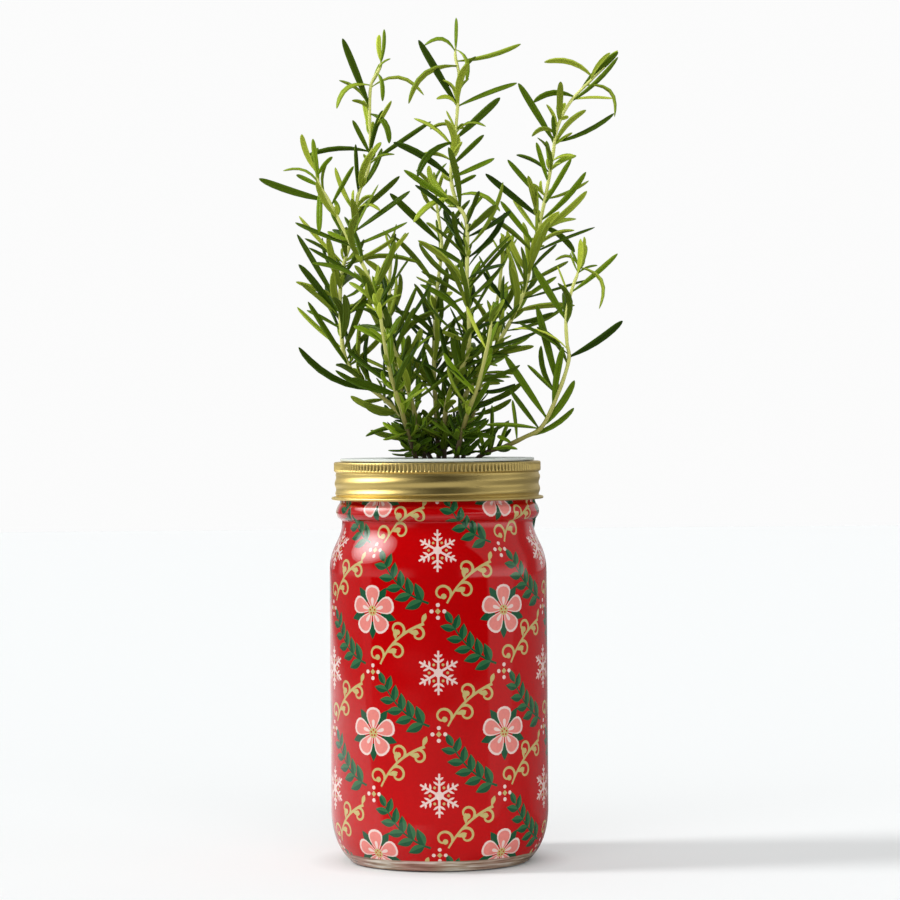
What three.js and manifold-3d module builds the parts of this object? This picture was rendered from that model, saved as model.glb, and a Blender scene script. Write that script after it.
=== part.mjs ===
// A herb garden jar: a glass jar in a printed film sleeve, closed by a gold screw band.
// A white lid disc rests on the band and carries a net pot with its grow medium, its wick
// and the rosemary sprigs that are rooted in it.
// Millimetres, +Z up, origin at the centre of the jar's foot, front of the jar towards -Y.
import * as THREE from "three";
import { mergeVertices } from "three/addons/utils/BufferGeometryUtils.js";
import Module from "manifold-3d";

const wasm = await Module();
wasm.setup();

// Round pieces
const SEGMENTS = 32;
const CURVE_STEPS = 3;
const SEAT_GAP = 0.3;

// Glass jar
const JAR_HEIGHT = 166.6;
const BODY_RADIUS = 45.0;
const GLASS_WALL = 3.0;
const NECK_INSET = 4.7;
const NECK_WALL = 2.9;
const BEAD_STEP = 1.7;
const BEAD_DROP = 20.2;
const BEAD_RISE = 3.7;
const BEAD_FALL = 2.8;
const BEAD_ROUND_SHARE = 0.55;
const BEAD_UNDERCUT_SHARE = 0.2;
const THROAT_STEP = 0.8;
const THROAT_HEIGHT = 1.2;
const SHOULDER_HEIGHT = 21.8;
const SHOULDER_SWELL_SHARE = 0.57;
const SHOULDER_SWEEP_SHARE = 0.61;
const SHOULDER_INNER_SHARE = 0.47;
const HEEL_HEIGHT = 21.0;
const HEEL_SWEEP_SHARE = 0.36;
const HEEL_INSET = 0.4;
const FOOT_INSET = 8.6;
const FOOT_WIDTH = 5.0;
const FOOT_ROUND = 1.0;
const PUSH_UP = 2.0;
const FLOOR_THICKNESS = 4.5;
const FLOOR_ROUND = 9.0;
const LIP_ROUND = 1.2;

// Screw thread, right-handed
const THREAD_PITCH = 5.08;
const THREAD_TURNS = 1.1;
const THREAD_DEPTH = 1.3;
const THREAD_ROOT_WIDTH = 2.4;
const THREAD_CREST_WIDTH = 1.1;
const THREAD_TOP_DROP = 4.0;
const THREAD_OVERLAP = 0.7;
const THREAD_FADE_STEPS = 3;
const THREAD_SINK = 0.35;

// Printed sleeve
const SLEEVE_FILM = 0.3;
const SLEEVE_FOOT = 4.8;
const SLEEVE_TUCK = 0.4;

// Screw band
const BAND_SHEET = 0.5;
const BAND_HEIGHT = 15.8;
const BAND_CLEARANCE = 0.7;
const BAND_FLANGE_WIDTH = 4.2;
const KNURL_HEIGHT = 4.6;
const KNURL_STEP = 0.6;
const BAND_CORNER = 1.2;
const CURL_RADIUS = 0.75;
const CURL_REACH = 1.7;

// Lid disc
const LID_INSET = 2.7;
const LID_FLANGE = 1.1;
const LID_EDGE = 0.4;
const LID_PLUG_DEPTH = 4.2;
const LID_PLUG_CLEARANCE = 0.45;

// Net pot
const POT_TOP_RADIUS = 24.6;
const POT_FOOT_RADIUS = 18.0;
const POT_FLANGE_WIDTH = 2.9;
const POT_FLANGE = 1.2;
const POT_DEPTH = 55.0;
const POT_WALL = 1.4;
const POT_FLOOR = 1.6;
const POT_CLEARANCE = 0.4;
const SLOT_COUNT = 12;
const SLOT_WIDTH = 3.2;
const SLOT_FOOT = 5.0;
const SLOT_HEAD = 12.0;
const DRAIN_COUNT = 6;
const DRAIN_RADIUS = 1.8;
const DRAIN_CIRCLE = 12.0;
const DRAIN_SIDES = 8;

// Grow medium and wick
const MEDIUM_DROP = 2.4;
const MEDIUM_CROWN = 1.4;
const MEDIUM_GAP = 0.4;
const WICK_WIDTH = 12.0;
const WICK_THICKNESS = 2.4;
const WICK_BURIED = 22.0;
const WICK_FLOOR_GAP = 6.0;
const WICK_CLEARANCE = 0.4;

// Rosemary
const BUSH_HEIGHT = 185.0;
const ROOT_DEPTH = 18.0;
const ROOT_CLEARANCE = 0.35;
const STEM_RADIUS = 1.75;
const STEM_TIP_RADIUS = 0.7;
const STEM_SIDES = 5;
const STEM_STEPS = 2;
const FIRST_PAIR_HEIGHT = 8.0;
const LAST_PAIR_DROP = 1.0;
const LEAF_HALF_WIDTH = 1.75;
const LEAF_FULL_LENGTH = 26.0;
const LEAF_SLIM_SHARE = 0.55;
const LEAF_THICKNESS = 1.1;
const LEAF_WIDEST_SHARE = 0.55;
const LEAF_FOOT_SHARE = 0.5;
const LEAF_SPACING = 11.0;
const LEAF_GAP = 0.5;
const LEAF_SELF_GAP = 0.1;
const LEAF_FREE_DISTANCE = 9.0;
const LEAF_LID_GAP = 0.9;
const LEAF_ATTEMPTS = 7;
const ATTEMPT_TURN_ANGLE = 0.4;
const ATTEMPT_CUT_SHARE = 0.06;
const BALL_SPACING = 2.0;
const REACH_TWIST_ANGLE = 1.2;
const PAIR_TWIST_ANGLE = 0.9;
const PAIR_SWAY_ANGLE = 0.5;
const PAIR_PITCH_ANGLE = { low: 0.95, high: 0.5, tip: 0.5, spread: 0.2 };
const PAIR_LENGTH_SHARE = { low: 0.7, young: 0.5, growth: 2.5, spread: 0.2 };
const PAIR_DROOP_SHARE = { least: -0.2, most: 0.25, tip: 0.2 };
const BESIDE_SHARE = { distance: 0.6, side: 0.4 };

// Radii that follow from these
const NECK_RADIUS = BODY_RADIUS - NECK_INSET;
const MOUTH_RADIUS = NECK_RADIUS - NECK_WALL;
const BEAD_RADIUS = NECK_RADIUS + BEAD_STEP;
const THROAT_RADIUS = NECK_RADIUS - THROAT_STEP;
const FOOT_RADIUS = BODY_RADIUS - FOOT_INSET;
const BAND_INNER_RADIUS = NECK_RADIUS + THREAD_DEPTH + BAND_CLEARANCE;
const BAND_RADIUS = BAND_INNER_RADIUS + BAND_SHEET;
const KNURL_RADIUS = BAND_RADIUS + KNURL_STEP;
const BAND_OPENING_RADIUS = BAND_RADIUS - BAND_FLANGE_WIDTH;
const LID_RADIUS = KNURL_RADIUS - LID_INSET;
const POT_FLANGE_RADIUS = POT_TOP_RADIUS + POT_FLANGE_WIDTH;

// Levels, from the foot up
const FLOOR_Z = PUSH_UP + FLOOR_THICKNESS;
const BEAD_Z = JAR_HEIGHT - BEAD_DROP;
const THROAT_TOP_Z = BEAD_Z - BEAD_FALL;
const THROAT_Z = THROAT_TOP_Z - THROAT_HEIGHT;
const SHOULDER_Z = THROAT_Z - SHOULDER_HEIGHT;
const LIP_Z = JAR_HEIGHT - LIP_ROUND;
const THREAD_Z = JAR_HEIGHT - THREAD_TOP_DROP - THREAD_TURNS * THREAD_PITCH;
const BAND_UNDER_Z = JAR_HEIGHT + SEAT_GAP;
const BAND_TOP_Z = BAND_UNDER_Z + BAND_SHEET;
const BAND_FOOT_Z = BAND_TOP_Z - BAND_HEIGHT;
const LID_SEAT_Z = BAND_TOP_Z + SEAT_GAP;
const LID_TOP_Z = LID_SEAT_Z + LID_FLANGE;
const LID_PLUG_Z = LID_TOP_Z - LID_PLUG_DEPTH;
const POT_SEAT_Z = LID_TOP_Z - POT_FLANGE;
const POT_FOOT_Z = LID_TOP_Z - POT_DEPTH;
const POT_FLOOR_Z = POT_FOOT_Z + POT_FLOOR;
const MEDIUM_TOP_Z = LID_TOP_Z - MEDIUM_DROP;
const MEDIUM_FOOT_Z = POT_FLOOR_Z + MEDIUM_GAP;
const WICK_TOP_Z = MEDIUM_FOOT_Z + WICK_BURIED;
const WICK_FOOT_Z = FLOOR_Z + WICK_FLOOR_GAP;

// Solids and booleans

function mix(a, b, share) {
  return a + (b - a) * share;
}

// A profile point at a radius and a height.
function at(radius, z) {
  return new THREE.Vector2(radius, z);
}

// The closed solid of a geometry, with shared vertices merged and flat triangles left out.
function solidOf(geometry) {
  const bare = new THREE.BufferGeometry();
  bare.setAttribute("position", geometry.getAttribute("position"));
  bare.setIndex(geometry.index);
  const merged = mergeVertices(bare, 1e-4);
  const corners = merged.index.array;
  const kept = [];
  for (let i = 0; i < corners.length; i += 3) {
    const [a, b, c] = [corners[i], corners[i + 1], corners[i + 2]];
    if (a !== b && b !== c && c !== a) kept.push(a, b, c);
  }
  return new wasm.Manifold(
    new wasm.Mesh({
      numProp: 3,
      vertProperties: merged.attributes.position.array,
      triVerts: new Uint32Array(kept),
    }),
  );
}

function geometryOf(solid) {
  const mesh = solid.getMesh();
  const geometry = new THREE.BufferGeometry();
  geometry.setAttribute("position", new THREE.BufferAttribute(mesh.vertProperties, 3));
  geometry.setIndex(new THREE.BufferAttribute(mesh.triVerts, 1));
  geometry.computeVertexNormals();
  return geometry;
}

// A solid of revolution about Z. The profile runs anticlockwise in radius and height.
function lathe(profile) {
  return new THREE.LatheGeometry(profile, SEGMENTS).rotateX(Math.PI / 2);
}

// A closed solid through rings of equal point counts. The last ring may be a single point.
function loft(rings) {
  const points = rings.flat();
  const count = rings[0].length;
  const index = [];
  for (let k = 1; k < count - 1; k++) index.push(0, k + 1, k);
  for (let r = 0; r + 1 < rings.length; r++) {
    const from = r * count;
    const to = from + count;
    const single = rings[r + 1].length === 1;
    for (let k = 0; k < count; k++) {
      const next = (k + 1) % count;
      if (single) {
        index.push(from + k, from + next, to);
      } else {
        index.push(from + k, from + next, to + next, from + k, to + next, to + k);
      }
    }
  }
  const last = (rings.length - 1) * count;
  if (rings.at(-1).length > 1) {
    for (let k = 1; k < count - 1; k++) index.push(last, last + k, last + k + 1);
  }
  const geometry = new THREE.BufferGeometry().setFromPoints(points);
  geometry.setIndex(index);
  return geometry;
}

// A helical ridge that starts above +X, fades in and out at its ends, and stands on a round wall.
// It reaches outwards from the wall, or inwards if its reach is negative.
function threadRidge(wallRadius, reach, startZ) {
  const steps = Math.round(THREAD_TURNS * SEGMENTS);
  const root = wallRadius - Math.sign(reach) * THREAD_SINK;
  const rings = [];
  for (let k = 0; k <= steps; k++) {
    const angle = (k / SEGMENTS) * 2 * Math.PI;
    const z = startZ + (k / SEGMENTS) * THREAD_PITCH;
    const fade = Math.min(1, (k + 0.5) / THREAD_FADE_STEPS, (steps - k + 0.5) / THREAD_FADE_STEPS);
    const crest = mix(root, wallRadius + reach, fade);
    const section = [
      [root, z - THREAD_ROOT_WIDTH / 2],
      [root, z + THREAD_ROOT_WIDTH / 2],
      [crest, z + THREAD_CREST_WIDTH / 2],
      [crest, z - THREAD_CREST_WIDTH / 2],
    ];
    if (reach < 0) section.reverse();
    rings.push(
      section.map(([r, h]) => new THREE.Vector3(r * Math.cos(angle), r * Math.sin(angle), h)),
    );
  }
  return solidOf(loft(rings));
}

// Glass jar

// The glass's outer line from the heel to the lip, which the sleeve follows.
function outerLine() {
  const line = new THREE.Path();
  line.moveTo(FOOT_RADIUS + FOOT_ROUND, FOOT_ROUND);
  line.quadraticCurveTo(
    BODY_RADIUS - HEEL_INSET,
    HEEL_HEIGHT * HEEL_SWEEP_SHARE,
    BODY_RADIUS,
    HEEL_HEIGHT,
  );
  line.lineTo(BODY_RADIUS, SHOULDER_Z);
  line.bezierCurveTo(
    BODY_RADIUS,
    SHOULDER_Z + SHOULDER_HEIGHT * SHOULDER_SWELL_SHARE,
    THROAT_RADIUS,
    SHOULDER_Z + SHOULDER_HEIGHT * SHOULDER_SWEEP_SHARE,
    THROAT_RADIUS,
    THROAT_Z,
  );
  line.lineTo(THROAT_RADIUS, THROAT_TOP_Z);
  line.quadraticCurveTo(
    BEAD_RADIUS,
    THROAT_TOP_Z + BEAD_FALL * BEAD_UNDERCUT_SHARE,
    BEAD_RADIUS,
    BEAD_Z,
  );
  line.quadraticCurveTo(
    BEAD_RADIUS,
    BEAD_Z + BEAD_RISE * BEAD_ROUND_SHARE,
    NECK_RADIUS,
    BEAD_Z + BEAD_RISE,
  );
  line.lineTo(NECK_RADIUS, LIP_Z);
  return line.getPoints(CURVE_STEPS);
}

function innerLine() {
  const inside = BODY_RADIUS - GLASS_WALL;
  const shoulder = SHOULDER_Z + SHOULDER_HEIGHT * SHOULDER_INNER_SHARE;
  const line = new THREE.Path();
  line.moveTo(MOUTH_RADIUS, LIP_Z);
  line.lineTo(MOUTH_RADIUS, THROAT_Z);
  line.bezierCurveTo(MOUTH_RADIUS, shoulder, inside, shoulder, inside, SHOULDER_Z - GLASS_WALL);
  line.lineTo(inside, FLOOR_Z + FLOOR_ROUND);
  line.quadraticCurveTo(inside, FLOOR_Z, inside - FLOOR_ROUND, FLOOR_Z);
  return line.getPoints(CURVE_STEPS);
}

function glassJar() {
  const footEdge = FOOT_RADIUS - FOOT_WIDTH;
  const profile = [
    at(0, PUSH_UP),
    at(footEdge - PUSH_UP, PUSH_UP),
    at(footEdge, 0),
    at(FOOT_RADIUS, 0),
    ...outerLine(),
    at(NECK_RADIUS - LIP_ROUND, JAR_HEIGHT),
    at(MOUTH_RADIUS + LIP_ROUND / 2, JAR_HEIGHT),
    ...innerLine(),
    at(0, FLOOR_Z),
  ];
  const thread = threadRidge(NECK_RADIUS, THREAD_DEPTH, THREAD_Z);
  return geometryOf(solidOf(lathe(profile)).add(thread));
}

// Printed sleeve

// The stretch of a rising line between two heights, cut where it crosses them.
function lineBetween(line, low, high) {
  const cut = (height) => {
    const k = line.findIndex((point) => point.y > height);
    const [before, after] = [line[k - 1], line[k]];
    return before.clone().lerp(after, (height - before.y) / (after.y - before.y));
  };
  return [cut(low), ...line.filter((point) => point.y > low && point.y < high), cut(high)];
}

// A line moved sideways by a distance, to the right of its direction.
function offsetLine(line, distance) {
  return line.map((point, k) => {
    const before = line[Math.max(0, k - 1)];
    const after = line[Math.min(line.length - 1, k + 1)];
    const along = new THREE.Vector2().subVectors(after, before).normalize();
    return at(point.x + along.y * distance, point.y - along.x * distance);
  });
}

function printedSleeve() {
  const glass = lineBetween(outerLine(), SLEEVE_FOOT, BAND_FOOT_Z + SLEEVE_TUCK);
  const inner = offsetLine(glass, SEAT_GAP);
  const outer = offsetLine(glass, SEAT_GAP + SLEEVE_FILM);
  return lathe([...outer, ...inner.reverse(), outer[0]]);
}

// Screw band

function screwBand() {
  const curlMiddle = BAND_FOOT_Z + CURL_RADIUS;
  const curlTop = curlMiddle + CURL_RADIUS;
  const curlEdge = BAND_RADIUS + CURL_REACH;
  const knurlFoot = BAND_TOP_Z - KNURL_HEIGHT;
  const profile = [
    at(BAND_OPENING_RADIUS, BAND_TOP_Z),
    at(BAND_OPENING_RADIUS, BAND_UNDER_Z),
    at(BAND_INNER_RADIUS, BAND_UNDER_Z),
    at(BAND_INNER_RADIUS, curlTop),
    at(BAND_INNER_RADIUS + CURL_RADIUS, BAND_FOOT_Z),
    at(curlEdge - CURL_RADIUS, BAND_FOOT_Z),
    at(curlEdge, curlMiddle),
    at(curlEdge - CURL_RADIUS, curlTop),
    at(BAND_RADIUS, curlTop + CURL_RADIUS),
    at(BAND_RADIUS, knurlFoot - KNURL_STEP),
    at(KNURL_RADIUS, knurlFoot),
    at(KNURL_RADIUS, BAND_TOP_Z - BAND_CORNER),
    at(KNURL_RADIUS - BAND_CORNER, BAND_TOP_Z),
    at(BAND_OPENING_RADIUS, BAND_TOP_Z),
  ];
  const reach = BAND_CLEARANCE + THREAD_OVERLAP;
  const ridge = threadRidge(BAND_INNER_RADIUS, -reach, THREAD_Z - THREAD_PITCH / 2);
  return geometryOf(solidOf(lathe(profile)).add(ridge));
}

// Lid disc, net pot, grow medium and wick

function lidDisc() {
  const plug = MOUTH_RADIUS - LID_PLUG_CLEARANCE;
  const hole = POT_TOP_RADIUS + POT_CLEARANCE;
  const recess = POT_FLANGE_RADIUS + POT_CLEARANCE;
  const shelf = POT_SEAT_Z - SEAT_GAP;
  return lathe([
    at(hole, LID_PLUG_Z),
    at(plug, LID_PLUG_Z),
    at(plug, LID_SEAT_Z),
    at(LID_RADIUS, LID_SEAT_Z),
    at(LID_RADIUS, LID_TOP_Z - LID_EDGE),
    at(LID_RADIUS - LID_EDGE, LID_TOP_Z),
    at(recess, LID_TOP_Z),
    at(recess, shelf),
    at(hole, shelf),
    at(hole, LID_PLUG_Z),
  ]);
}

// The radius of the pot's inside at a height.
function potInside(z) {
  const share = (z - POT_FLOOR_Z) / (LID_TOP_Z - POT_FLOOR_Z);
  return mix(POT_FOOT_RADIUS, POT_TOP_RADIUS, share) - POT_WALL;
}

function netPot() {
  const shell = lathe([
    at(0, POT_FOOT_Z),
    at(POT_FOOT_RADIUS, POT_FOOT_Z),
    at(POT_TOP_RADIUS, POT_SEAT_Z),
    at(POT_FLANGE_RADIUS, POT_SEAT_Z),
    at(POT_FLANGE_RADIUS, LID_TOP_Z),
    at(potInside(LID_TOP_Z), LID_TOP_Z),
    at(potInside(POT_FLOOR_Z), POT_FLOOR_Z),
    at(0, POT_FLOOR_Z),
  ]);
  let pot = solidOf(shell);
  const slotHeight = POT_DEPTH - SLOT_FOOT - SLOT_HEAD;
  const slotMiddle = POT_FOOT_Z + SLOT_FOOT + slotHeight / 2;
  const slotInner = potInside(POT_FLOOR_Z) - POT_WALL;
  const slotOuter = POT_TOP_RADIUS + POT_WALL;
  for (let k = 0; k < SLOT_COUNT; k++) {
    const slot = new THREE.BoxGeometry(slotOuter - slotInner, SLOT_WIDTH, slotHeight);
    slot.translate((slotInner + slotOuter) / 2, 0, slotMiddle);
    slot.rotateZ((k / SLOT_COUNT) * 2 * Math.PI);
    pot = pot.subtract(solidOf(slot));
  }
  const through = 4 * POT_FLOOR;
  for (let k = 0; k < DRAIN_COUNT; k++) {
    const drain = new THREE.CylinderGeometry(DRAIN_RADIUS, DRAIN_RADIUS, through, DRAIN_SIDES);
    drain.rotateX(Math.PI / 2).translate(DRAIN_CIRCLE, 0, POT_FOOT_Z);
    drain.rotateZ(((k + 0.5) / DRAIN_COUNT) * 2 * Math.PI);
    pot = pot.subtract(solidOf(drain));
  }
  const wickHole = new THREE.BoxGeometry(
    WICK_WIDTH + 2 * WICK_CLEARANCE,
    WICK_THICKNESS + 2 * WICK_CLEARANCE,
    through,
  ).translate(0, 0, POT_FOOT_Z);
  return geometryOf(pot.subtract(solidOf(wickHole)));
}

// The strip of felt, or the slit that it sits in when grown by a clearance.
function wickStrip(clearance) {
  const height = WICK_TOP_Z - WICK_FOOT_Z + clearance;
  return new THREE.BoxGeometry(
    WICK_WIDTH + 2 * clearance,
    WICK_THICKNESS + 2 * clearance,
    height,
  ).translate(0, 0, WICK_FOOT_Z + height / 2);
}

// A plug that fills the pot to just under its rim, with a crowned top.
function growMedium(sprigs) {
  const shoulder = MEDIUM_TOP_Z - MEDIUM_CROWN;
  const plug = lathe([
    at(0, MEDIUM_FOOT_Z),
    at(potInside(MEDIUM_FOOT_Z) - MEDIUM_GAP, MEDIUM_FOOT_Z),
    at(potInside(shoulder) - MEDIUM_GAP, shoulder),
    at(potInside(shoulder) / 2, MEDIUM_TOP_Z),
    at(0, MEDIUM_TOP_Z),
  ]);
  let medium = solidOf(plug).subtract(solidOf(wickStrip(WICK_CLEARANCE)));
  for (const sprig of sprigs) medium = medium.subtract(solidOf(sprig.rootHole));
  return geometryOf(medium);
}

// Rosemary
// Points, leaf tips and leaf lengths were chosen by eye for a bush that is 185 mm tall, and
// are scaled to the bush's height. Heights are above the lid's top.
// A root is the stem's place in the medium, in shares of the medium's radius.
// A reach is one leaf that stands out: [height on the stem, tip x, tip y, tip height, arch].
const SPRIGS = [
  {
    name: "sprig_left_tall",
    leaf: 27,
    root: [-0.08, 0.15],
    stem: [
      [-16.7, 9, 19.6], [-36.7, 14, 38.2], [-40.6, 16, 58],
      [-39.9, 17, 79], [-33.9, 17, 99], [-33, 17, 111], [-27.8, 16, 125.6], [-27.6, 15, 146.4],
      [-26.9, 14, 158], [-23.3, 13, 165], [-22, 13, 170],
    ],
    reaches: [
      [149, -38.8, 12, 177.7, 0], [158, -41.5, 12, 148, 0.5], [157, -4.5, 16, 153.8, 0.5],
      [167, -21.1, 12, 181.5, -0.1], [163, -21.9, 6, 150.4, 0.5], [146, -19.3, 8, 132.8, 0.4],
      [130, -54.6, 14, 128.1, 0.15], [125, -1.6, 20, 143, 0], [96, -10.7, 12, 113, 0],
      [58, -58.3, 15, 82.4, 0.05], [64, -58.7, 12, 95, 0], [38, -54.2, 10, 66.4, 0],
      [29, -58.1, 6, 47.1, -0.2],
    ],
  },
  {
    name: "sprig_centre_tall",
    leaf: 27,
    root: [0.13, -0.14],
    stem: [
      [4.1, -5, 22.7], [10.5, -7, 37.4], [13.7, -8, 48], [13, -9, 73],
      [13, -9, 97.5], [8.9, -8, 106.7], [6.6, -7, 118], [8.4, -6, 133], [9.6, -5, 146.4],
      [10.3, -4, 160], [8.9, -3, 168], [9.2, -3, 174],
    ],
    reaches: [
      [170, 9.3, -3, 185, 0], [166, 36.3, -6, 172.7, -0.1], [147, -6.5, -5, 174.8, 0],
      [164, -10.8, -8, 147.9, 0.4], [147, 34.6, -4, 156.7, 0.05], [133, 27.4, -10, 150, 0],
      [170, -4.3, -2, 172.7, 0.6], [171, 13.4, -8, 157, 0.5], [129, -8.7, -4, 142.2, 0.2],
      [135, 21.4, -8, 138.2, 0.5], [132, -7.2, -12, 117.2, 0.3], [122, 20.6, -6, 134.9, 0],
      [109, 27, -12, 102.5, 0.4], [109, -9.1, -11, 98.3, 0.25], [117, -17.3, -6, 132, 0.1],
    ],
  },
  {
    name: "sprig_right_tall",
    leaf: 27,
    root: [0.37, 0.14],
    stem: [
      [9.8, 4, 18.5], [12.5, 5, 27], [18.7, 7, 37.4], [27.1, 9, 50],
      [36.7, 11, 68.7], [42.5, 12, 92], [46.4, 12, 109], [49.7, 12, 126.5], [51.8, 12, 139],
      [57.1, 11, 149.6], [66, 10, 159], [72, 9, 164.5],
    ],
    reaches: [
      [155, 79.4, 8, 172.4, 0.05], [152, 41.7, 8, 149.6, 0.3], [160, 46.4, 10, 166.8, 0.3],
      [157, 76.5, 7, 142.4, 0.6], [133, 76, 14, 145.4, -0.1], [133, 35.4, 10, 158, 0],
      [131, 64.3, 16, 147, 0.2], [108, 30.6, 8, 125.6, 0], [101, 21.3, 14, 120.2, 0],
      [100, 63.7, 8, 120.2, -0.1], [121, 60, 16, 127.7, 0.2], [106, 57.5, 6, 125.6, 0],
      [120, 34.4, 14, 128, 0.15], [90, 27.5, 6, 108, 0], [98, 58.9, 14, 86.6, 0.2],
    ],
  },
  {
    name: "sprig_left_low",
    leaf: 28,
    root: [-0.22, -0.24],
    stem: [
      [-9.5, -9, 20], [-14.6, -13, 37.2], [-21.3, -17, 56],
      [-28.5, -19, 77], [-35.2, -20, 89.5], [-43.4, -20, 106], [-48, -19, 114], [-49.6, -18, 121],
    ],
    reaches: [
      [107, -75.8, -24, 116, -0.05], [114, -50.4, -18, 132.8, 0], [113, -63, -16, 119.7, 0.4],
      [117, -42.2, -21, 125, 0.1], [113, -47.8, -27, 93.3, 0.2], [88, -58.1, -16, 98.3, 0],
      [13, -29.8, -8, 9.3, 0.15], [27, -42.1, -10, 37, -0.15],
    ],
  },
  {
    name: "sprig_right_low",
    leaf: 25,
    root: [0.7, -0.24],
    stem: [
      [21.5, -7, 2.6], [28, -9, 4.6], [36.4, -12, 8.5],
      [43.8, -14, 13], [50.6, -16, 27], [54.9, -17, 40.4], [54.2, -17, 48], [54, -17, 59],
      [56.6, -16, 70], [58.8, -15, 76], [59.6, -14, 81],
    ],
    reaches: [
      [41.6, 78.4, -20, 57.2, -0.08], [68.5, 75.7, -14, 84.5, -0.05], [79, 67.6, -18, 61.4, 0.6],
      [80, 60.4, -14, 90.8, 0], [16.4, 28.4, -18, 42.5, 0], [27.8, 41.9, -12, 63.5, 0],
      [21.5, 52.4, -22, 45.8, 0.05], [12.2, 57.3, -15, 32, -0.1], [9, 57.2, -10, 20.6, -0.15],
      [57, 40.8, -14, 79, 0], [79, 49.7, -12, 82, 0.6],
    ],
  },
  {
    name: "sprig_back_centre",
    leaf: 26,
    root: [0.03, 0.47],
    stem: [
      [-0.7, 15, 24], [-1.1, 20, 44], [0, 26, 68], [2.4, 30, 90],
      [0.7, 32, 107], [-0.4, 33, 116],
    ],
    reaches: [[92, -19.5, 26, 113, 0]],
  },
  {
    name: "sprig_back_left",
    leaf: 25,
    root: [-0.38, 0.4],
    stem: [
      [-14, 16, 24], [-19, 24, 48], [-20, 30, 74], [-18.6, 34, 92],
    ],
    reaches: [],
  },
  {
    name: "sprig_back_right",
    leaf: 25,
    root: [0.47, 0.48],
    stem: [
      [17, 19, 25], [23, 28, 48], [27, 35, 72], [29, 40, 90],
    ],
    reaches: [[80, 34, 53.8, 98, 0]],
  },
  {
    name: "sprig_front_left",
    leaf: 22,
    root: [-0.38, -0.53],
    stem: [
      [-14, -20, 18], [-19, -29, 36], [-22, -37, 54], [-23, -42, 66],
    ],
    reaches: [],
  },
  {
    name: "sprig_front_right",
    leaf: 22,
    root: [0.33, -0.61],
    stem: [
      [12, -23, 16], [17, -33, 30], [21, -41, 46], [23, -47, 58],
    ],
    reaches: [],
  },
];

const DRAWN_HEIGHT = Math.max(...SPRIGS.flatMap((sprig) => sprig.reaches).map((reach) => reach[3]));
const GROWTH = BUSH_HEIGHT / DRAWN_HEIGHT;
const UP = new THREE.Vector3(0, 0, 1);
const RIGHT = new THREE.Vector3(1, 0, 0);

// Whole numbers kept for each sprig, leaf that stands out, pair and leaf of a pair
const REACH_SEEDS = 100;
const SPRIG_SEEDS = 1000;
const PAIR_SEEDS = 20;
const HAND_SEEDS = 8;
const FIRST_SEED = 300;

// A fixed spread of values from 0 to 1, one for each whole number.
function scatter(n) {
  const wave = Math.sin(n * 12.9898 + 4.1414) * 43758.5453;
  return wave - Math.floor(wave);
}

// A value from -most to most.
function vary(most, n) {
  return mix(-most, most, scatter(n));
}

// A drawn point of the bush at its real size and place.
function grown(x, y, z) {
  return new THREE.Vector3(x, y, z).multiplyScalar(GROWTH).setZ(LID_TOP_Z + z * GROWTH);
}

// The stem's middle line with the distance run at each point.
function stemLine(sprig) {
  const spread = potInside(MEDIUM_TOP_Z) - MEDIUM_GAP;
  const [rootX, rootY] = sprig.root.map((share) => share * spread);
  const points = [
    new THREE.Vector3(rootX, rootY, LID_TOP_Z - ROOT_DEPTH),
    new THREE.Vector3(rootX, rootY, MEDIUM_TOP_Z),
    ...sprig.stem.map((point) => grown(...point)),
  ];
  const curve = new THREE.CatmullRomCurve3(points, false, "catmullrom", 0.5);
  const line = curve.getPoints(STEM_STEPS * (points.length - 1));
  const run = [0];
  for (let k = 1; k < line.length; k++) run.push(run[k - 1] + line[k].distanceTo(line[k - 1]));
  return { line, run, length: run.at(-1) };
}

// The place and direction at a distance along a stem.
function stemAt(stem, distance) {
  let k = 1;
  while (k < stem.line.length - 1 && stem.run[k] < distance) k++;
  const share = (distance - stem.run[k - 1]) / (stem.run[k] - stem.run[k - 1]);
  const place = stem.line[k - 1].clone().lerp(stem.line[k], share);
  const along = stem.line[k].clone().sub(stem.line[k - 1]).normalize();
  return { place, along };
}

// The distance along a stem at which it first reaches a height.
function distanceAt(stem, height) {
  const k = stem.line.findIndex((point) => point.z >= height);
  const [low, high] = [stem.line[k - 1], stem.line[k]];
  return mix(stem.run[k - 1], stem.run[k], (height - low.z) / (high.z - low.z));
}

function stemRadius(stem, distance) {
  return mix(STEM_RADIUS, STEM_TIP_RADIUS, distance / stem.length);
}

// Two directions square to a stem, the first as near +X as it can be.
function acrossStem(along) {
  const side = RIGHT.clone().addScaledVector(along, -along.x).normalize();
  const back = along.clone().cross(side);
  return { side, back };
}

// Rings of a round tube at the first points of a stem.
function stemRings(stem, count, extra) {
  return stem.line.slice(0, count).map((place, k) => {
    const before = stem.line[Math.max(0, k - 1)];
    const after = stem.line[Math.min(stem.line.length - 1, k + 1)];
    const { side, back } = acrossStem(after.clone().sub(before).normalize());
    const radius = stemRadius(stem, stem.run[k]) + extra;
    return Array.from({ length: STEM_SIDES }, (_, j) => {
      const angle = (j / STEM_SIDES) * 2 * Math.PI;
      return place
        .clone()
        .addScaledVector(side, radius * Math.cos(angle))
        .addScaledVector(back, radius * Math.sin(angle));
    });
  });
}

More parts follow.
